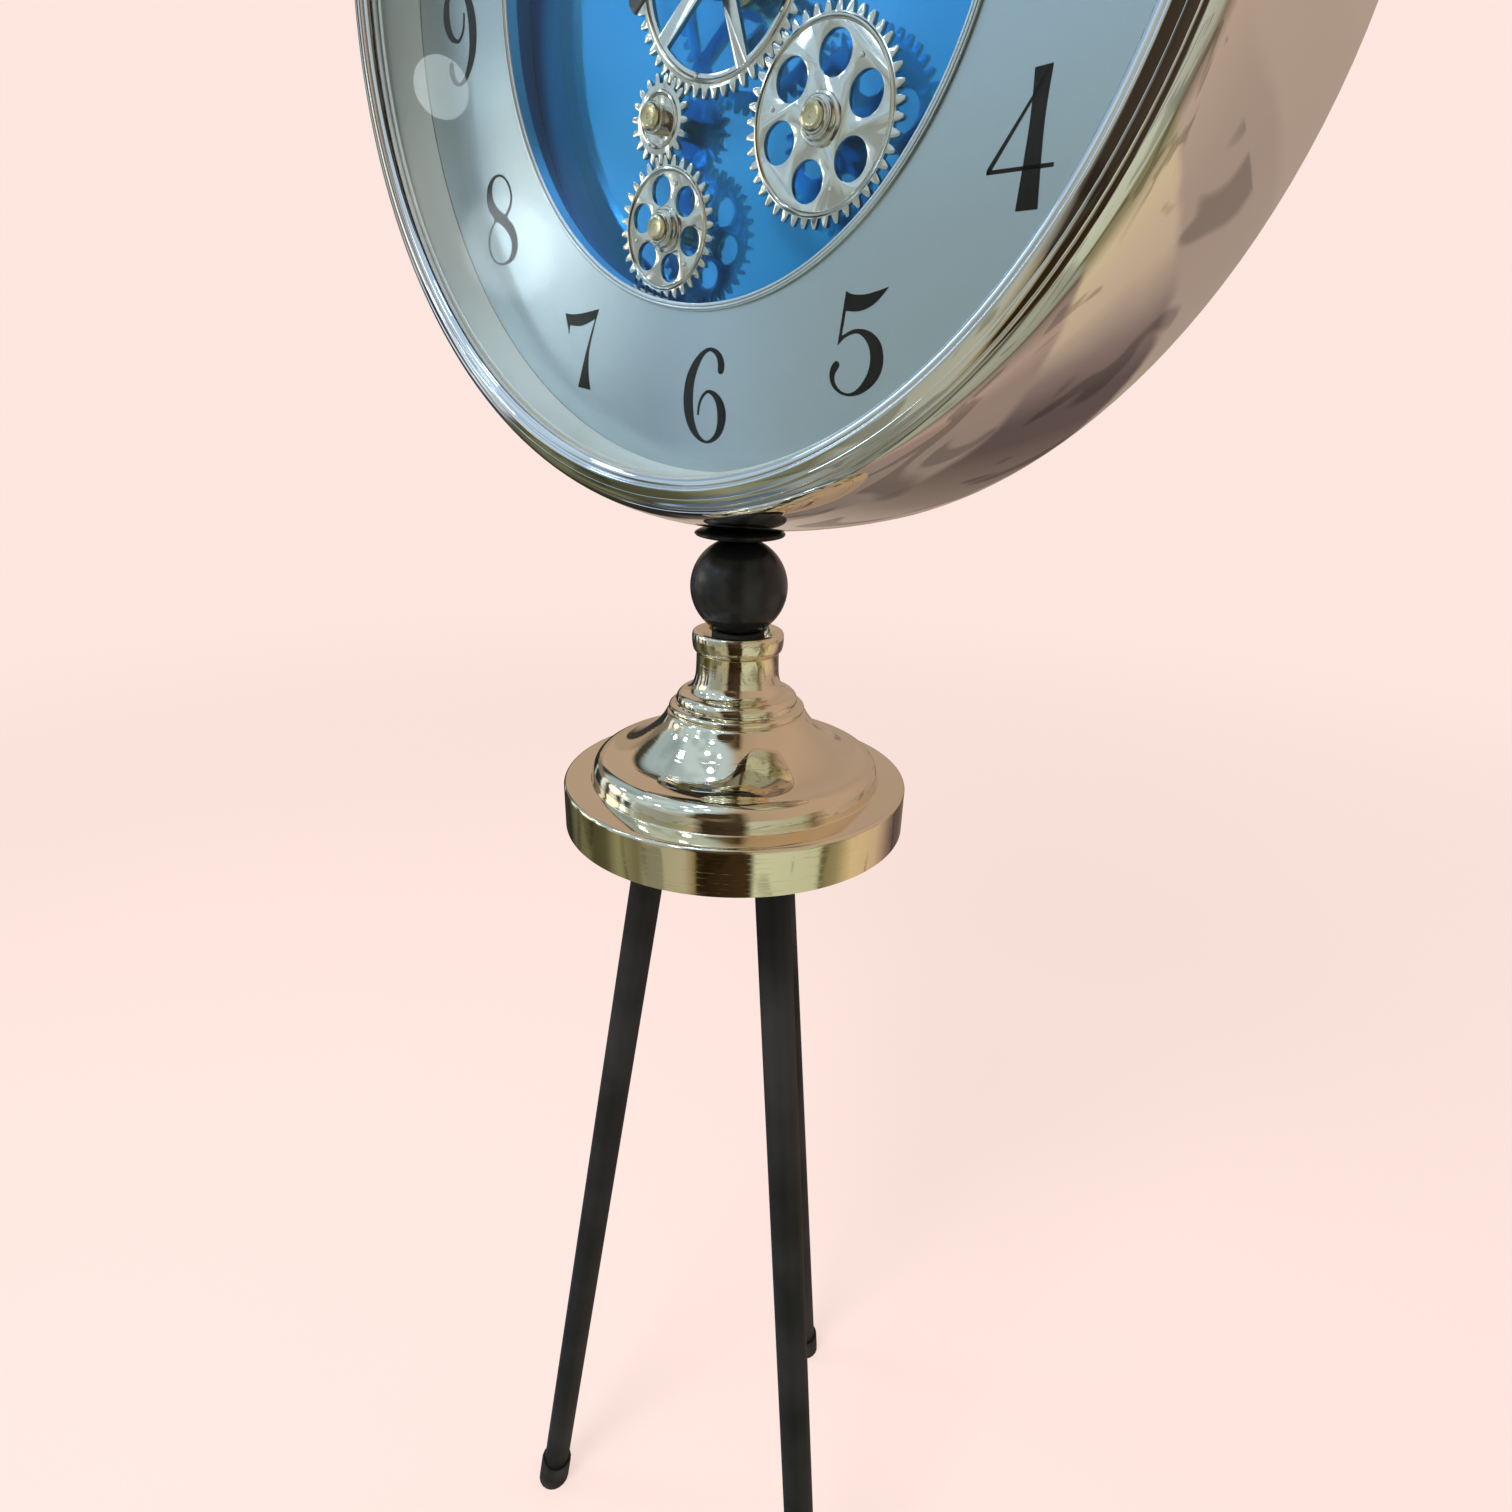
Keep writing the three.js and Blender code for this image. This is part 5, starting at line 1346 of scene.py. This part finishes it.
class CLOCK_OT_legs(bpy.types.Operator):
    """Finishes the legs, the rubber feet and the leg plate"""

    bl_idname = "clock.legs"
    bl_label = "Legs"

    def execute(self, context):
        for side in ("rear", "left", "right"):
            self.make_leg(side)
            node = side + "_foot"
            finish_copy(node + "_rubber", node, "black_rubber", 0.0008, angle=50)
        finish_copy("leg_plate_steel", "leg_plate", "plain_steel", 0.0004)
        return {"FINISHED"}

    def make_leg(self, side):
        """A round rod between the ends of the CAD leg."""
        points = [vertex.co for vertex in frame["nodes"][side + "_leg"].data.vertices]
        upper = [point for point in points if point.z > MIDWAY]
        lower = [point for point in points if point.z < MIDWAY]
        top, foot = (sum(ends, Vector()) / len(ends) for ends in (upper, lower))
        run = top - foot
        clear_selection()
        bpy.ops.mesh.primitive_cylinder_add(vertices=56, radius=LEG_RADIUS, depth=run.length)
        leg = name_active(side + "_leg_painted")
        turn = run.to_track_quat("Z", "Y").to_matrix().to_4x4()
        leg.data.transform(Matrix.Translation((top + foot) / 2) @ turn)
        soften_edges(leg, 0.0012, 3, 50)
        finish_piece(leg, side + "_leg", "satin_black", "leg", angle=40)


class CLOCK_OT_fixings(bpy.types.Operator):
    """Finishes the tie rod, its nuts and the clamp block"""

    bl_idname = "clock.fixings"
    bl_label = "Tie rod and nuts"

    def execute(self, context):
        low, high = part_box("tie_rod")
        bottom, top = (low.z - BASE_Z) / MM, (high.z - BASE_Z) / MM
        rod = [(0.0, bottom), (4.2, bottom), *self.thread(bottom + 1.0, bottom + 24)]
        rod += [(5.0, bottom + 27), (5.0, top - 27), *self.thread(top - 25, top - 1)]
        piece = turn_on_stand("tie_rod_threaded", [*rod, (4.2, top), (0.0, top)], 36)
        finish_piece(piece, "tie_rod", "plain_steel", angle=20)
        for node in ("plate_nut", "case_nut", "clamp_block"):
            finish_copy(node + "_steel", node, "plain_steel", 0.0005)
        return {"FINISHED"}

    def thread(self, height, end):
        """The profile of a threaded stretch between two heights."""
        points = []
        while height < end:
            points += [(4.6, height), (5.0, height + 0.6)]
            height += THREAD_PITCH
        return points


class CLOCK_OT_rear(bpy.types.Operator):
    """Finishes the rear cover, the service door, the screws and the movement"""

    bl_idname = "clock.rear"
    bl_label = "Rear and movement"

    def execute(self, context):
        for node, slot, body, width in (
            ("rear_cover", "black_board", BODY, 0.0004),
            ("service_door", "black_board", "door", 0.0004),
            ("movement_case", "black_plastic", BODY, 0.0005),
            ("set_knob", "black_plastic", "knob", 0.0004),
            ("gear_motor", "plain_steel", BODY, 0.0005),
        ):
            finish_copy(node + "_finished", node, slot, width, body=body)
        for k in range(1, 5):
            self.make_screw(f"cover_screw_{k}")
        self.make_cell()
        return {"FINISHED"}

    def make_screw(self, node):
        """A domed screw with a cross recess."""
        low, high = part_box(node)
        centre = (low + high) / 2
        back, front = (DIAL_Y - high.y) / MM, (DIAL_Y - low.y) / MM
        head = back + 2.0
        dome = ((3.9, head - 0.5), (3.4, back + 0.5), (2.0, back), (0.0, back))
        profile = [(0.0, front), (1.6, front), (1.6, head), (4.0, head), dome[0], *curve(*dome, 6)]
        screw = turn_on_head(node + "_cross", profile, 32, centre)
        for turn in (0, math.pi / 2):
            clear_selection()
            place, rotation = (centre.x, high.y, centre.z), (0, turn, 0)
            bpy.ops.mesh.primitive_cube_add(size=1, location=place, rotation=rotation)
            cutter = bpy.context.active_object
            cutter.scale = (0.0044, 0.0022, 0.0009)
            cut_with(screw, cutter)
        finish_piece(screw, node, "plain_steel")

    def make_cell(self):
        """A sleeved cell that lies across the movement."""
        low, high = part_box("battery_cell")
        centre = (low + high) / 2
        half = (high.x - low.x) / 2
        outline = [
            (0.0, -half), (0.0068, -half), (0.0070, 0.0004 - half), (0.0070, half - 0.0022),
            (0.0066, half - 0.0016), (0.0032, half - 0.0015), (0.0029, half - 0.0003),
            (0.0025, half), (0.0, half),
        ]
        x, y, z = centre
        points = [Vector((x + along, y + radius, z)) for radius, along in outline]
        cell = draw_profile("cell_sleeved", points)
        spin_profile(cell, (0, centre.y, centre.z), (1, 0, 0), 48)
        finish_piece(cell, "battery_cell", "cell_sleeve")


# Stage

TENT_MIDDLE, TENT_RADIUS = (STAND.x, STAND.y, 1.0), 4.0
FLOOR_RADIUS, FADE_START, FADE_END = 9.0, 1.3, 4.5
# Name, place, side, power and colour of the lamps
LAMPS = (
    ("key_softbox", (0.08, -1.4, 2.5), 0.7, 34, (1.0, 0.99, 0.98)),
    ("fill_softbox", (-1.8, -1.0, 1.9), 0.6, 9, (0.97, 0.99, 1.0)),
    ("rear_softbox", (1.2, 1.7, 2.2), 0.9, 6, (1.0, 0.99, 0.98)),
)
# The photograph's camera, fitted in pixels and degrees, with its place from the pedestal's foot
CAMERA_OFFSET = (0.3609, -0.4375, 0.2719)
FOCAL_PIXELS, FRAME_PIXELS, SENSOR = 880, 1512, 36
PITCH, ROLL, DIAL_TURN, PAN = 21.97, -1.69, 39.52, 1.43

# What polished metal shows: for each height, colours by the compass angle from straight
# in front of the dial, counted towards the viewer's side.
NEAR_FLOOR = (
    (-180, (0.30, 0.23, 0.19)), (-128, (0.16, 0.12, 0.10)), (-112, (0.02, 0.02, 0.02)),
    (-93, (0.03, 0.03, 0.03)), (-90, (0.70, 0.86, 1.00)), (-86, (0.60, 0.76, 0.92)),
    (-83, (0.03, 0.035, 0.04)), (-64, (0.05, 0.06, 0.07)), (-61, (0.36, 0.46, 0.58)),
    (-57, (0.10, 0.13, 0.17)), (-34, (0.16, 0.20, 0.22)), (-26, (0.30, 0.32, 0.28)),
    (-4, (0.21, 0.22, 0.17)), (36, (0.26, 0.27, 0.21)), (40, (0.07, 0.05, 0.035)),
    (46, (0.10, 0.075, 0.05)), (51, (0.32, 0.33, 0.25)), (72, (0.40, 0.41, 0.31)),
    (108, (0.33, 0.34, 0.25)), (113, (0.13, 0.09, 0.07)), (117, (0.28, 0.21, 0.17)),
    (136, (0.46, 0.33, 0.26)), (150, (0.34, 0.24, 0.19)), (180, (0.30, 0.23, 0.19)),
)
FLOOR_RING = (
    (-180, (0.12, 0.082, 0.074)), (-160, (0.24, 0.18, 0.14)), (-142, (0.58, 0.46, 0.37)),
    (-130, (0.48, 0.39, 0.30)), (-126, (0.03, 0.03, 0.025)), (-98, (0.04, 0.04, 0.03)),
    (-90, (0.12, 0.12, 0.07)), (-72, (0.16, 0.16, 0.085)), (-64, (0.07, 0.065, 0.035)),
    (-50, (0.09, 0.09, 0.045)), (-40, (0.26, 0.26, 0.15)), (-24, (0.16, 0.15, 0.085)),
    (-16, (0.36, 0.355, 0.26)), (8, (0.44, 0.42, 0.31)), (15, (0.26, 0.20, 0.10)),
    (17, (0.022, 0.013, 0.006)), (50, (0.05, 0.03, 0.013)), (53, (0.60, 0.64, 0.48)),
    (94, (0.54, 0.56, 0.41)), (98, (0.22, 0.20, 0.10)), (108, (0.30, 0.26, 0.145)),
    (122, (0.68, 0.54, 0.34)), (146, (0.58, 0.44, 0.32)), (160, (0.26, 0.185, 0.16)),
    (172, (0.12, 0.085, 0.077)), (180, (0.12, 0.082, 0.074)),
)
# Past the windows, where eye level and the band above it are the same
BESIDE_WINDOWS = (
    (-41.6, (0.62, 0.78, 0.96)), (-40, (0.41, 0.48, 0.51)), (-34, (0.33, 0.37, 0.365)),
    (-8, (0.28, 0.31, 0.29)), (8, (0.44, 0.43, 0.34)), (17, (0.04, 0.028, 0.018)),
    (46, (0.06, 0.042, 0.028)), (52, (0.52, 0.54, 0.44)), (90, (0.44, 0.44, 0.34)),
    (100, (0.24, 0.18, 0.12)), (112, (0.52, 0.39, 0.30)),
)
EYE_LEVEL = (
    (-180, (0.42, 0.32, 0.26)), (-130, (0.40, 0.30, 0.23)), (-125, (0.05, 0.045, 0.04)),
    (-103, (0.02, 0.026, 0.03)), (-100, (0.56, 0.68, 0.80)), (-97, (0.03, 0.04, 0.05)),
    (-85, (0.03, 0.04, 0.05)), (-83, (0.90, 0.98, 1.00)), (-77, (0.74, 0.80, 0.84)),
    (-75.5, (0.07, 0.08, 0.09)), (-70, (0.06, 0.07, 0.08)), (-68.5, (0.98, 0.95, 0.86)),
    (-61, (0.92, 0.90, 0.80)), (-58.5, (0.06, 0.07, 0.08)), (-55, (0.07, 0.08, 0.09)),
    (-53, (0.84, 0.96, 1.00)), (-51.5, (0.70, 0.84, 0.94)), (-50, (0.06, 0.07, 0.08)),
    (-44, (0.10, 0.12, 0.14)),
    *BESIDE_WINDOWS,
    (150, (0.40, 0.30, 0.24)), (180, (0.42, 0.32, 0.26)),
)
LOW_WINDOWS = (
    (-180, (0.42, 0.32, 0.26)), (-112, (0.40, 0.31, 0.23)), (-104, (0.20, 0.17, 0.13)),
    (-86, (0.22, 0.20, 0.17)), (-84, (0.92, 0.97, 1.00)), (-78, (0.80, 0.84, 0.86)),
    (-76.5, (0.14, 0.15, 0.15)), (-71, (0.12, 0.13, 0.13)), (-69, (1.00, 0.95, 0.85)),
    (-60, (1.00, 0.95, 0.82)), (-56, (0.46, 0.53, 0.57)), (-54, (0.90, 1.00, 1.00)),
    (-49, (0.90, 1.00, 1.00)), (-46.5, (0.44, 0.53, 0.59)), (-43, (0.43, 0.51, 0.57)),
    *BESIDE_WINDOWS,
    (180, (0.42, 0.32, 0.26)),
)
OVERHEAD = (
    (-180, (0.42, 0.32, 0.26)), (-107, (0.48, 0.37, 0.30)), (-103, (0.04, 0.038, 0.028)),
    (-95, (0.07, 0.075, 0.065)), (-89, (0.46, 0.54, 0.56)), (-30, (0.46, 0.52, 0.52)),
    (0, (0.40, 0.42, 0.38)), (9, (0.07, 0.05, 0.03)), (26, (0.20, 0.15, 0.10)),
    (44, (0.05, 0.035, 0.02)), (54, (0.42, 0.33, 0.25)), (80, (0.48, 0.36, 0.275)),
    (140, (0.51, 0.38, 0.295)), (180, (0.42, 0.32, 0.26)),
)
CEILING = (
    (-180, (0.54, 0.41, 0.33)), (-110, (0.46, 0.38, 0.32)), (-70, (0.42, 0.44, 0.43)),
    (0, (0.40, 0.38, 0.33)), (50, (0.44, 0.34, 0.26)), (120, (0.52, 0.40, 0.33)),
    (180, (0.54, 0.41, 0.33)),
)
# Each higher band with the sines of the angles where it starts and where it takes over
BANDS = (
    (FLOOR_RING, -0.62, -0.58),
    (EYE_LEVEL, -0.27, -0.23),
    (LOW_WINDOWS, 0.00, 0.05),
    (OVERHEAD, 0.20, 0.27),
    (CEILING, 0.80, 0.90),
)
# Lights and dark furniture in the room: compass angle, angle above the horizon, radius
# and softness in degrees, and colour
GLOWS = (
    (-34, 52, 27, 13, (0.50, 0.65, 0.79)),
    (-78, 34, 12, 9, (0.36, 0.48, 0.58)),
    (-66, 9, 6, 3, (2.20, 2.02, 1.62)),
    (-53, 9, 1.8, 1.4, (3.8, 4.3, 4.5)),
    (22, 34, 11, 3, (0.05, 0.038, 0.024)),
)
# The ceiling lamps stand within an angle, given by its cosine, of one direction
LAMPS_AT, LAMPS_WITHIN = (-0.50, -0.48, 0.72), 0.84


def add_ramp(net, factor, stops):
    """A colour ramp over the compass angle."""
    ramp = net.add("ShaderNodeValToRGB", {"Fac": factor})
    elements = ramp.color_ramp.elements
    for i, (degrees, colour) in enumerate(stops):
        position = degrees / 360 + 0.5
        element = elements[i] if i < 2 else elements.new(position)
        element.position = position
        element.color = (*colour, 1)
    return ramp.outputs["Color"]


def add_band(net, height, lower, upper, start, end):
    """One colour below a height and another above it."""
    return net.mix(net.stretch(height, start, end, interpolation_type="SMOOTHSTEP"), lower, upper)


def add_glow(net, direction, colour, glow):
    """Lays one soft round patch over a colour."""
    compass, rise, radius, softness, shown = glow
    compass, rise = math.radians(compass), math.radians(rise)
    level = math.cos(rise)
    middle = (math.sin(compass) * level, -math.cos(compass) * level, math.sin(rise))
    facing = net.vector("DOT_PRODUCT", direction, middle)
    start, end = math.cos(math.radians(radius + softness)), math.cos(math.radians(radius))
    return add_band(net, facing, colour, (*shown, 1), start, end)


def add_room_colours(net, direction, parts):
    """The bands of colour round the clock, with the lights and dark furniture over them."""
    front = net.math("MULTIPLY", parts["Y"], -1.0)
    turn = net.math("DIVIDE", net.math("ARCTAN2", parts["X"], front), 2 * math.pi)
    cloud = net.noise(direction, 4.5, 3)
    sway = net.math("MULTIPLY", net.math("SUBTRACT", cloud, 0.5), 0.012)
    compass = net.math("ADD", net.math("ADD", turn, 0.5), sway)
    height = net.math("ADD", parts["Z"], net.math("MULTIPLY", sway, 5.0))
    colour = add_ramp(net, compass, NEAR_FLOOR)
    for stops, start, end in BANDS:
        colour = add_band(net, height, colour, add_ramp(net, compass, stops), start, end)
    for glow in GLOWS:
        colour = add_glow(net, direction, colour, glow)
    return colour


def add_room_light(net, direction, height):
    """How bright the room is: streaked below, panelled round the ceiling lamps."""
    strokes = net.noise(direction, 2.4, 1, 2.0)
    below = net.math("MULTIPLY", strokes, net.math("LESS_THAN", height, -0.05))
    dim = net.stretch(below, 0.54, 0.60, 1.05, 0.66)
    panels = net.stretch(net.noise(direction, 4.5, 0, 0.6), 0.35, 0.62, 0.82, 1.10)
    inputs = {"Vector": direction, "Scale": 4.8, "Randomness": 0.8}
    lamps = net.add("ShaderNodeTexVoronoi", inputs).outputs["Distance"]
    spot = net.math("LESS_THAN", lamps, 0.24)
    facing = net.vector("DOT_PRODUCT", direction, Vector(LAMPS_AT).normalized())
    near = net.math("GREATER_THAN", facing, LAMPS_WITHIN)
    shine = net.math("MULTIPLY", net.math("MULTIPLY", spot, near), 7.5)
    return net.math("ADD", net.mix(near, dim, panels, "FLOAT"), shine)


def make_tent_material():
    """Soft room colours round the clock: dark floor, pale windows, spots under the ceiling."""
    tent = Finish("tent_cloth", roughness=1.0)
    tent.set("Base Color", (0, 0, 0, 1))
    tent.set("Specular IOR Level", 0.0)
    direction = tent.vector("NORMALIZE", tent.vector("SUBTRACT", tent.place(), TENT_MIDDLE))
    parts = tent.add("ShaderNodeSeparateXYZ", {0: direction}).outputs
    tent.set("Emission Color", add_room_colours(tent, direction, parts))
    tent.set("Emission Strength", add_room_light(tent, direction, parts["Z"]))
    return tent.material


def add_tent():
    """A large ball round the clock that only polished surfaces and glass see."""
    clear_selection()
    bpy.ops.mesh.primitive_uv_sphere_add(
        segments=96, ring_count=48, radius=TENT_RADIUS, location=TENT_MIDDLE
    )
    bpy.ops.object.transform_apply(location=True)
    tent = name_active("reflection_tent")
    tent.data.materials.append(make_tent_material())
    tent.visible_camera = False
    tent.visible_diffuse = False
    tent.visible_shadow = False


def add_lamp(name, place, side, power, colour):
    """A soft square lamp that faces the clock's middle and isn't mirrored."""
    clear_selection()
    bpy.ops.object.light_add(type="AREA", location=place)
    lamp = bpy.context.active_object
    lamp.name = name
    lamp.data.shape = "RECTANGLE"
    lamp.data.size = lamp.data.size_y = side
    lamp.data.energy = power
    lamp.data.color = colour
    lamp.visible_glossy = False
    lamp.visible_transmission = False
    direction = Vector((0, STAND.y, 1.0)) - Vector(place)
    lamp.rotation_euler = direction.to_track_quat("-Z", "Y").to_euler()


def make_backdrop_material(colour):
    """A floor that shows its plain colour, keeps a soft shadow and fades into the surround."""
    floor = Finish("backdrop_paper", roughness=0.9)
    floor.set("Specular IOR Level", 0.0)
    floor.tint(lighter(colour, -0.70), lighter(colour, -0.69), 0.7)
    floor.set("Emission Color", (*colour, 1))
    floor.set("Emission Strength", 0.72)
    away = floor.vector("LENGTH", floor.place())
    fade = floor.stretch(away, FADE_START, FADE_END, interpolation_type="SMOOTHSTEP")
    plain = floor.add("ShaderNodeEmission", {"Color": (*colour, 1)}).outputs[0]
    floor.show(floor.mix_shaders(fade, floor.shader.outputs[0], plain))
    return floor.material


def set_world(colour):
    """A pale surround: plain behind the clock and in its reflections, softer as a light."""
    world = bpy.data.worlds.new("studio")
    bpy.context.scene.world = world
    world.use_nodes = True
    world.node_tree.nodes.clear()
    net = Net(world.node_tree)
    fill = net.add("ShaderNodeBackground", {"Color": (1.0, 0.97, 0.95, 1), "Strength": 0.6})
    shown = net.add("ShaderNodeBackground", {"Color": (*colour, 1), "Strength": 1.0})
    path = net.add("ShaderNodeLightPath").outputs
    clear = net.math("MAXIMUM", path["Is Camera Ray"], path["Is Transmission Ray"])
    either = net.math("MAXIMUM", clear, path["Is Glossy Ray"])
    surface = net.mix_shaders(either, fill.outputs[0], shown.outputs[0])
    net.add("ShaderNodeOutputWorld", {"Surface": surface})


def aim_camera():
    """The photograph's viewpoint: low in front, to the right of the dial, looking a little down."""
    clear_selection()
    right, back, up = CAMERA_OFFSET
    bpy.ops.object.camera_add(location=(STAND.x + right, STAND.y + back, BASE_Z + up))
    camera = bpy.context.active_object
    camera.name = "photo_camera"
    camera.data.lens = FOCAL_PIXELS / FRAME_PIXELS * SENSOR
    camera.data.sensor_width = SENSOR
    pitch, roll, turn = (math.radians(angle) for angle in (PITCH, ROLL, DIAL_TURN - PAN))
    ahead = (-math.sin(turn) * math.cos(pitch), math.cos(turn) * math.cos(pitch), -math.sin(pitch))
    ahead = Vector(ahead)
    level = Vector((math.cos(turn), math.sin(turn), 0))
    down = ahead.cross(level)
    right = math.cos(roll) * level + math.sin(roll) * down
    lower = -math.sin(roll) * level + math.cos(roll) * down
    camera.rotation_euler = Matrix((right, -lower, -ahead)).transposed().to_euler()
    bpy.context.scene.camera = camera


class CLOCK_OT_stage(bpy.types.Operator):
    """Sets the floor, the surround, the mirrored room, the lamps and the camera"""

    bl_idname = "clock.stage"
    bl_label = "Stage"

    def execute(self, context):
        scene = context.scene
        colour = tuple(scene.clock_colours.backdrop)
        scene.view_settings.view_transform = "Standard"
        clear_selection()
        bpy.ops.mesh.primitive_circle_add(vertices=96, radius=FLOOR_RADIUS, fill_type="NGON")
        floor = name_active("studio_floor")
        floor.data.materials.append(make_backdrop_material(colour))
        floor.visible_glossy = False
        floor.visible_transmission = False
        set_world(colour)
        add_tent()
        for lamp in LAMPS:
            add_lamp(*lamp)
        aim_camera()
        return {"FINISHED"}


class CLOCK_PT_panel(bpy.types.Panel):
    """Lists the settings and the building steps in the 3D view's sidebar"""

    bl_label = "Floor Clock"
    bl_idname = "CLOCK_PT_panel"
    bl_space_type = "VIEW_3D"
    bl_region_type = "UI"
    bl_category = "Floor Clock"

    def draw(self, context):
        layout = self.layout
        for group in (context.scene.clock_sizes, context.scene.clock_colours):
            for key in group.__annotations__:
                layout.prop(group, key)
        for operator in OPERATORS:
            layout.operator(operator.bl_idname)


OPERATORS = (
    CLOCK_OT_stage,
    CLOCK_OT_case,
    CLOCK_OT_glazing,
    CLOCK_OT_dial,
    CLOCK_OT_numerals,
    CLOCK_OT_wheels,
    CLOCK_OT_posts,
    CLOCK_OT_hands,
    CLOCK_OT_pedestal,
    CLOCK_OT_neck,
    CLOCK_OT_legs,
    CLOCK_OT_fixings,
    CLOCK_OT_rear,
)
CLASSES = (ClockSizes, ClockColours, *OPERATORS, CLOCK_PT_panel)


def register():
    for item in CLASSES:
        bpy.utils.register_class(item)
    bpy.types.Scene.clock_sizes = bpy.props.PointerProperty(type=ClockSizes)
    bpy.types.Scene.clock_colours = bpy.props.PointerProperty(type=ClockColours)


def unregister():
    del bpy.types.Scene.clock_colours
    del bpy.types.Scene.clock_sizes
    for item in reversed(CLASSES):
        bpy.utils.unregister_class(item)


def main():
    """Builds the clock group by group."""
    register()
    make_handling_group()
    make_turned_group()
    make_streaks_group()
    make_tint_group()
    FINISHES.update(make_materials(bpy.context.scene.clock_colours))
    for operator in OPERATORS:
        category, action = operator.bl_idname.split(".")
        getattr(getattr(bpy.ops, category), action)()


if __name__ == "__main__":
    main()
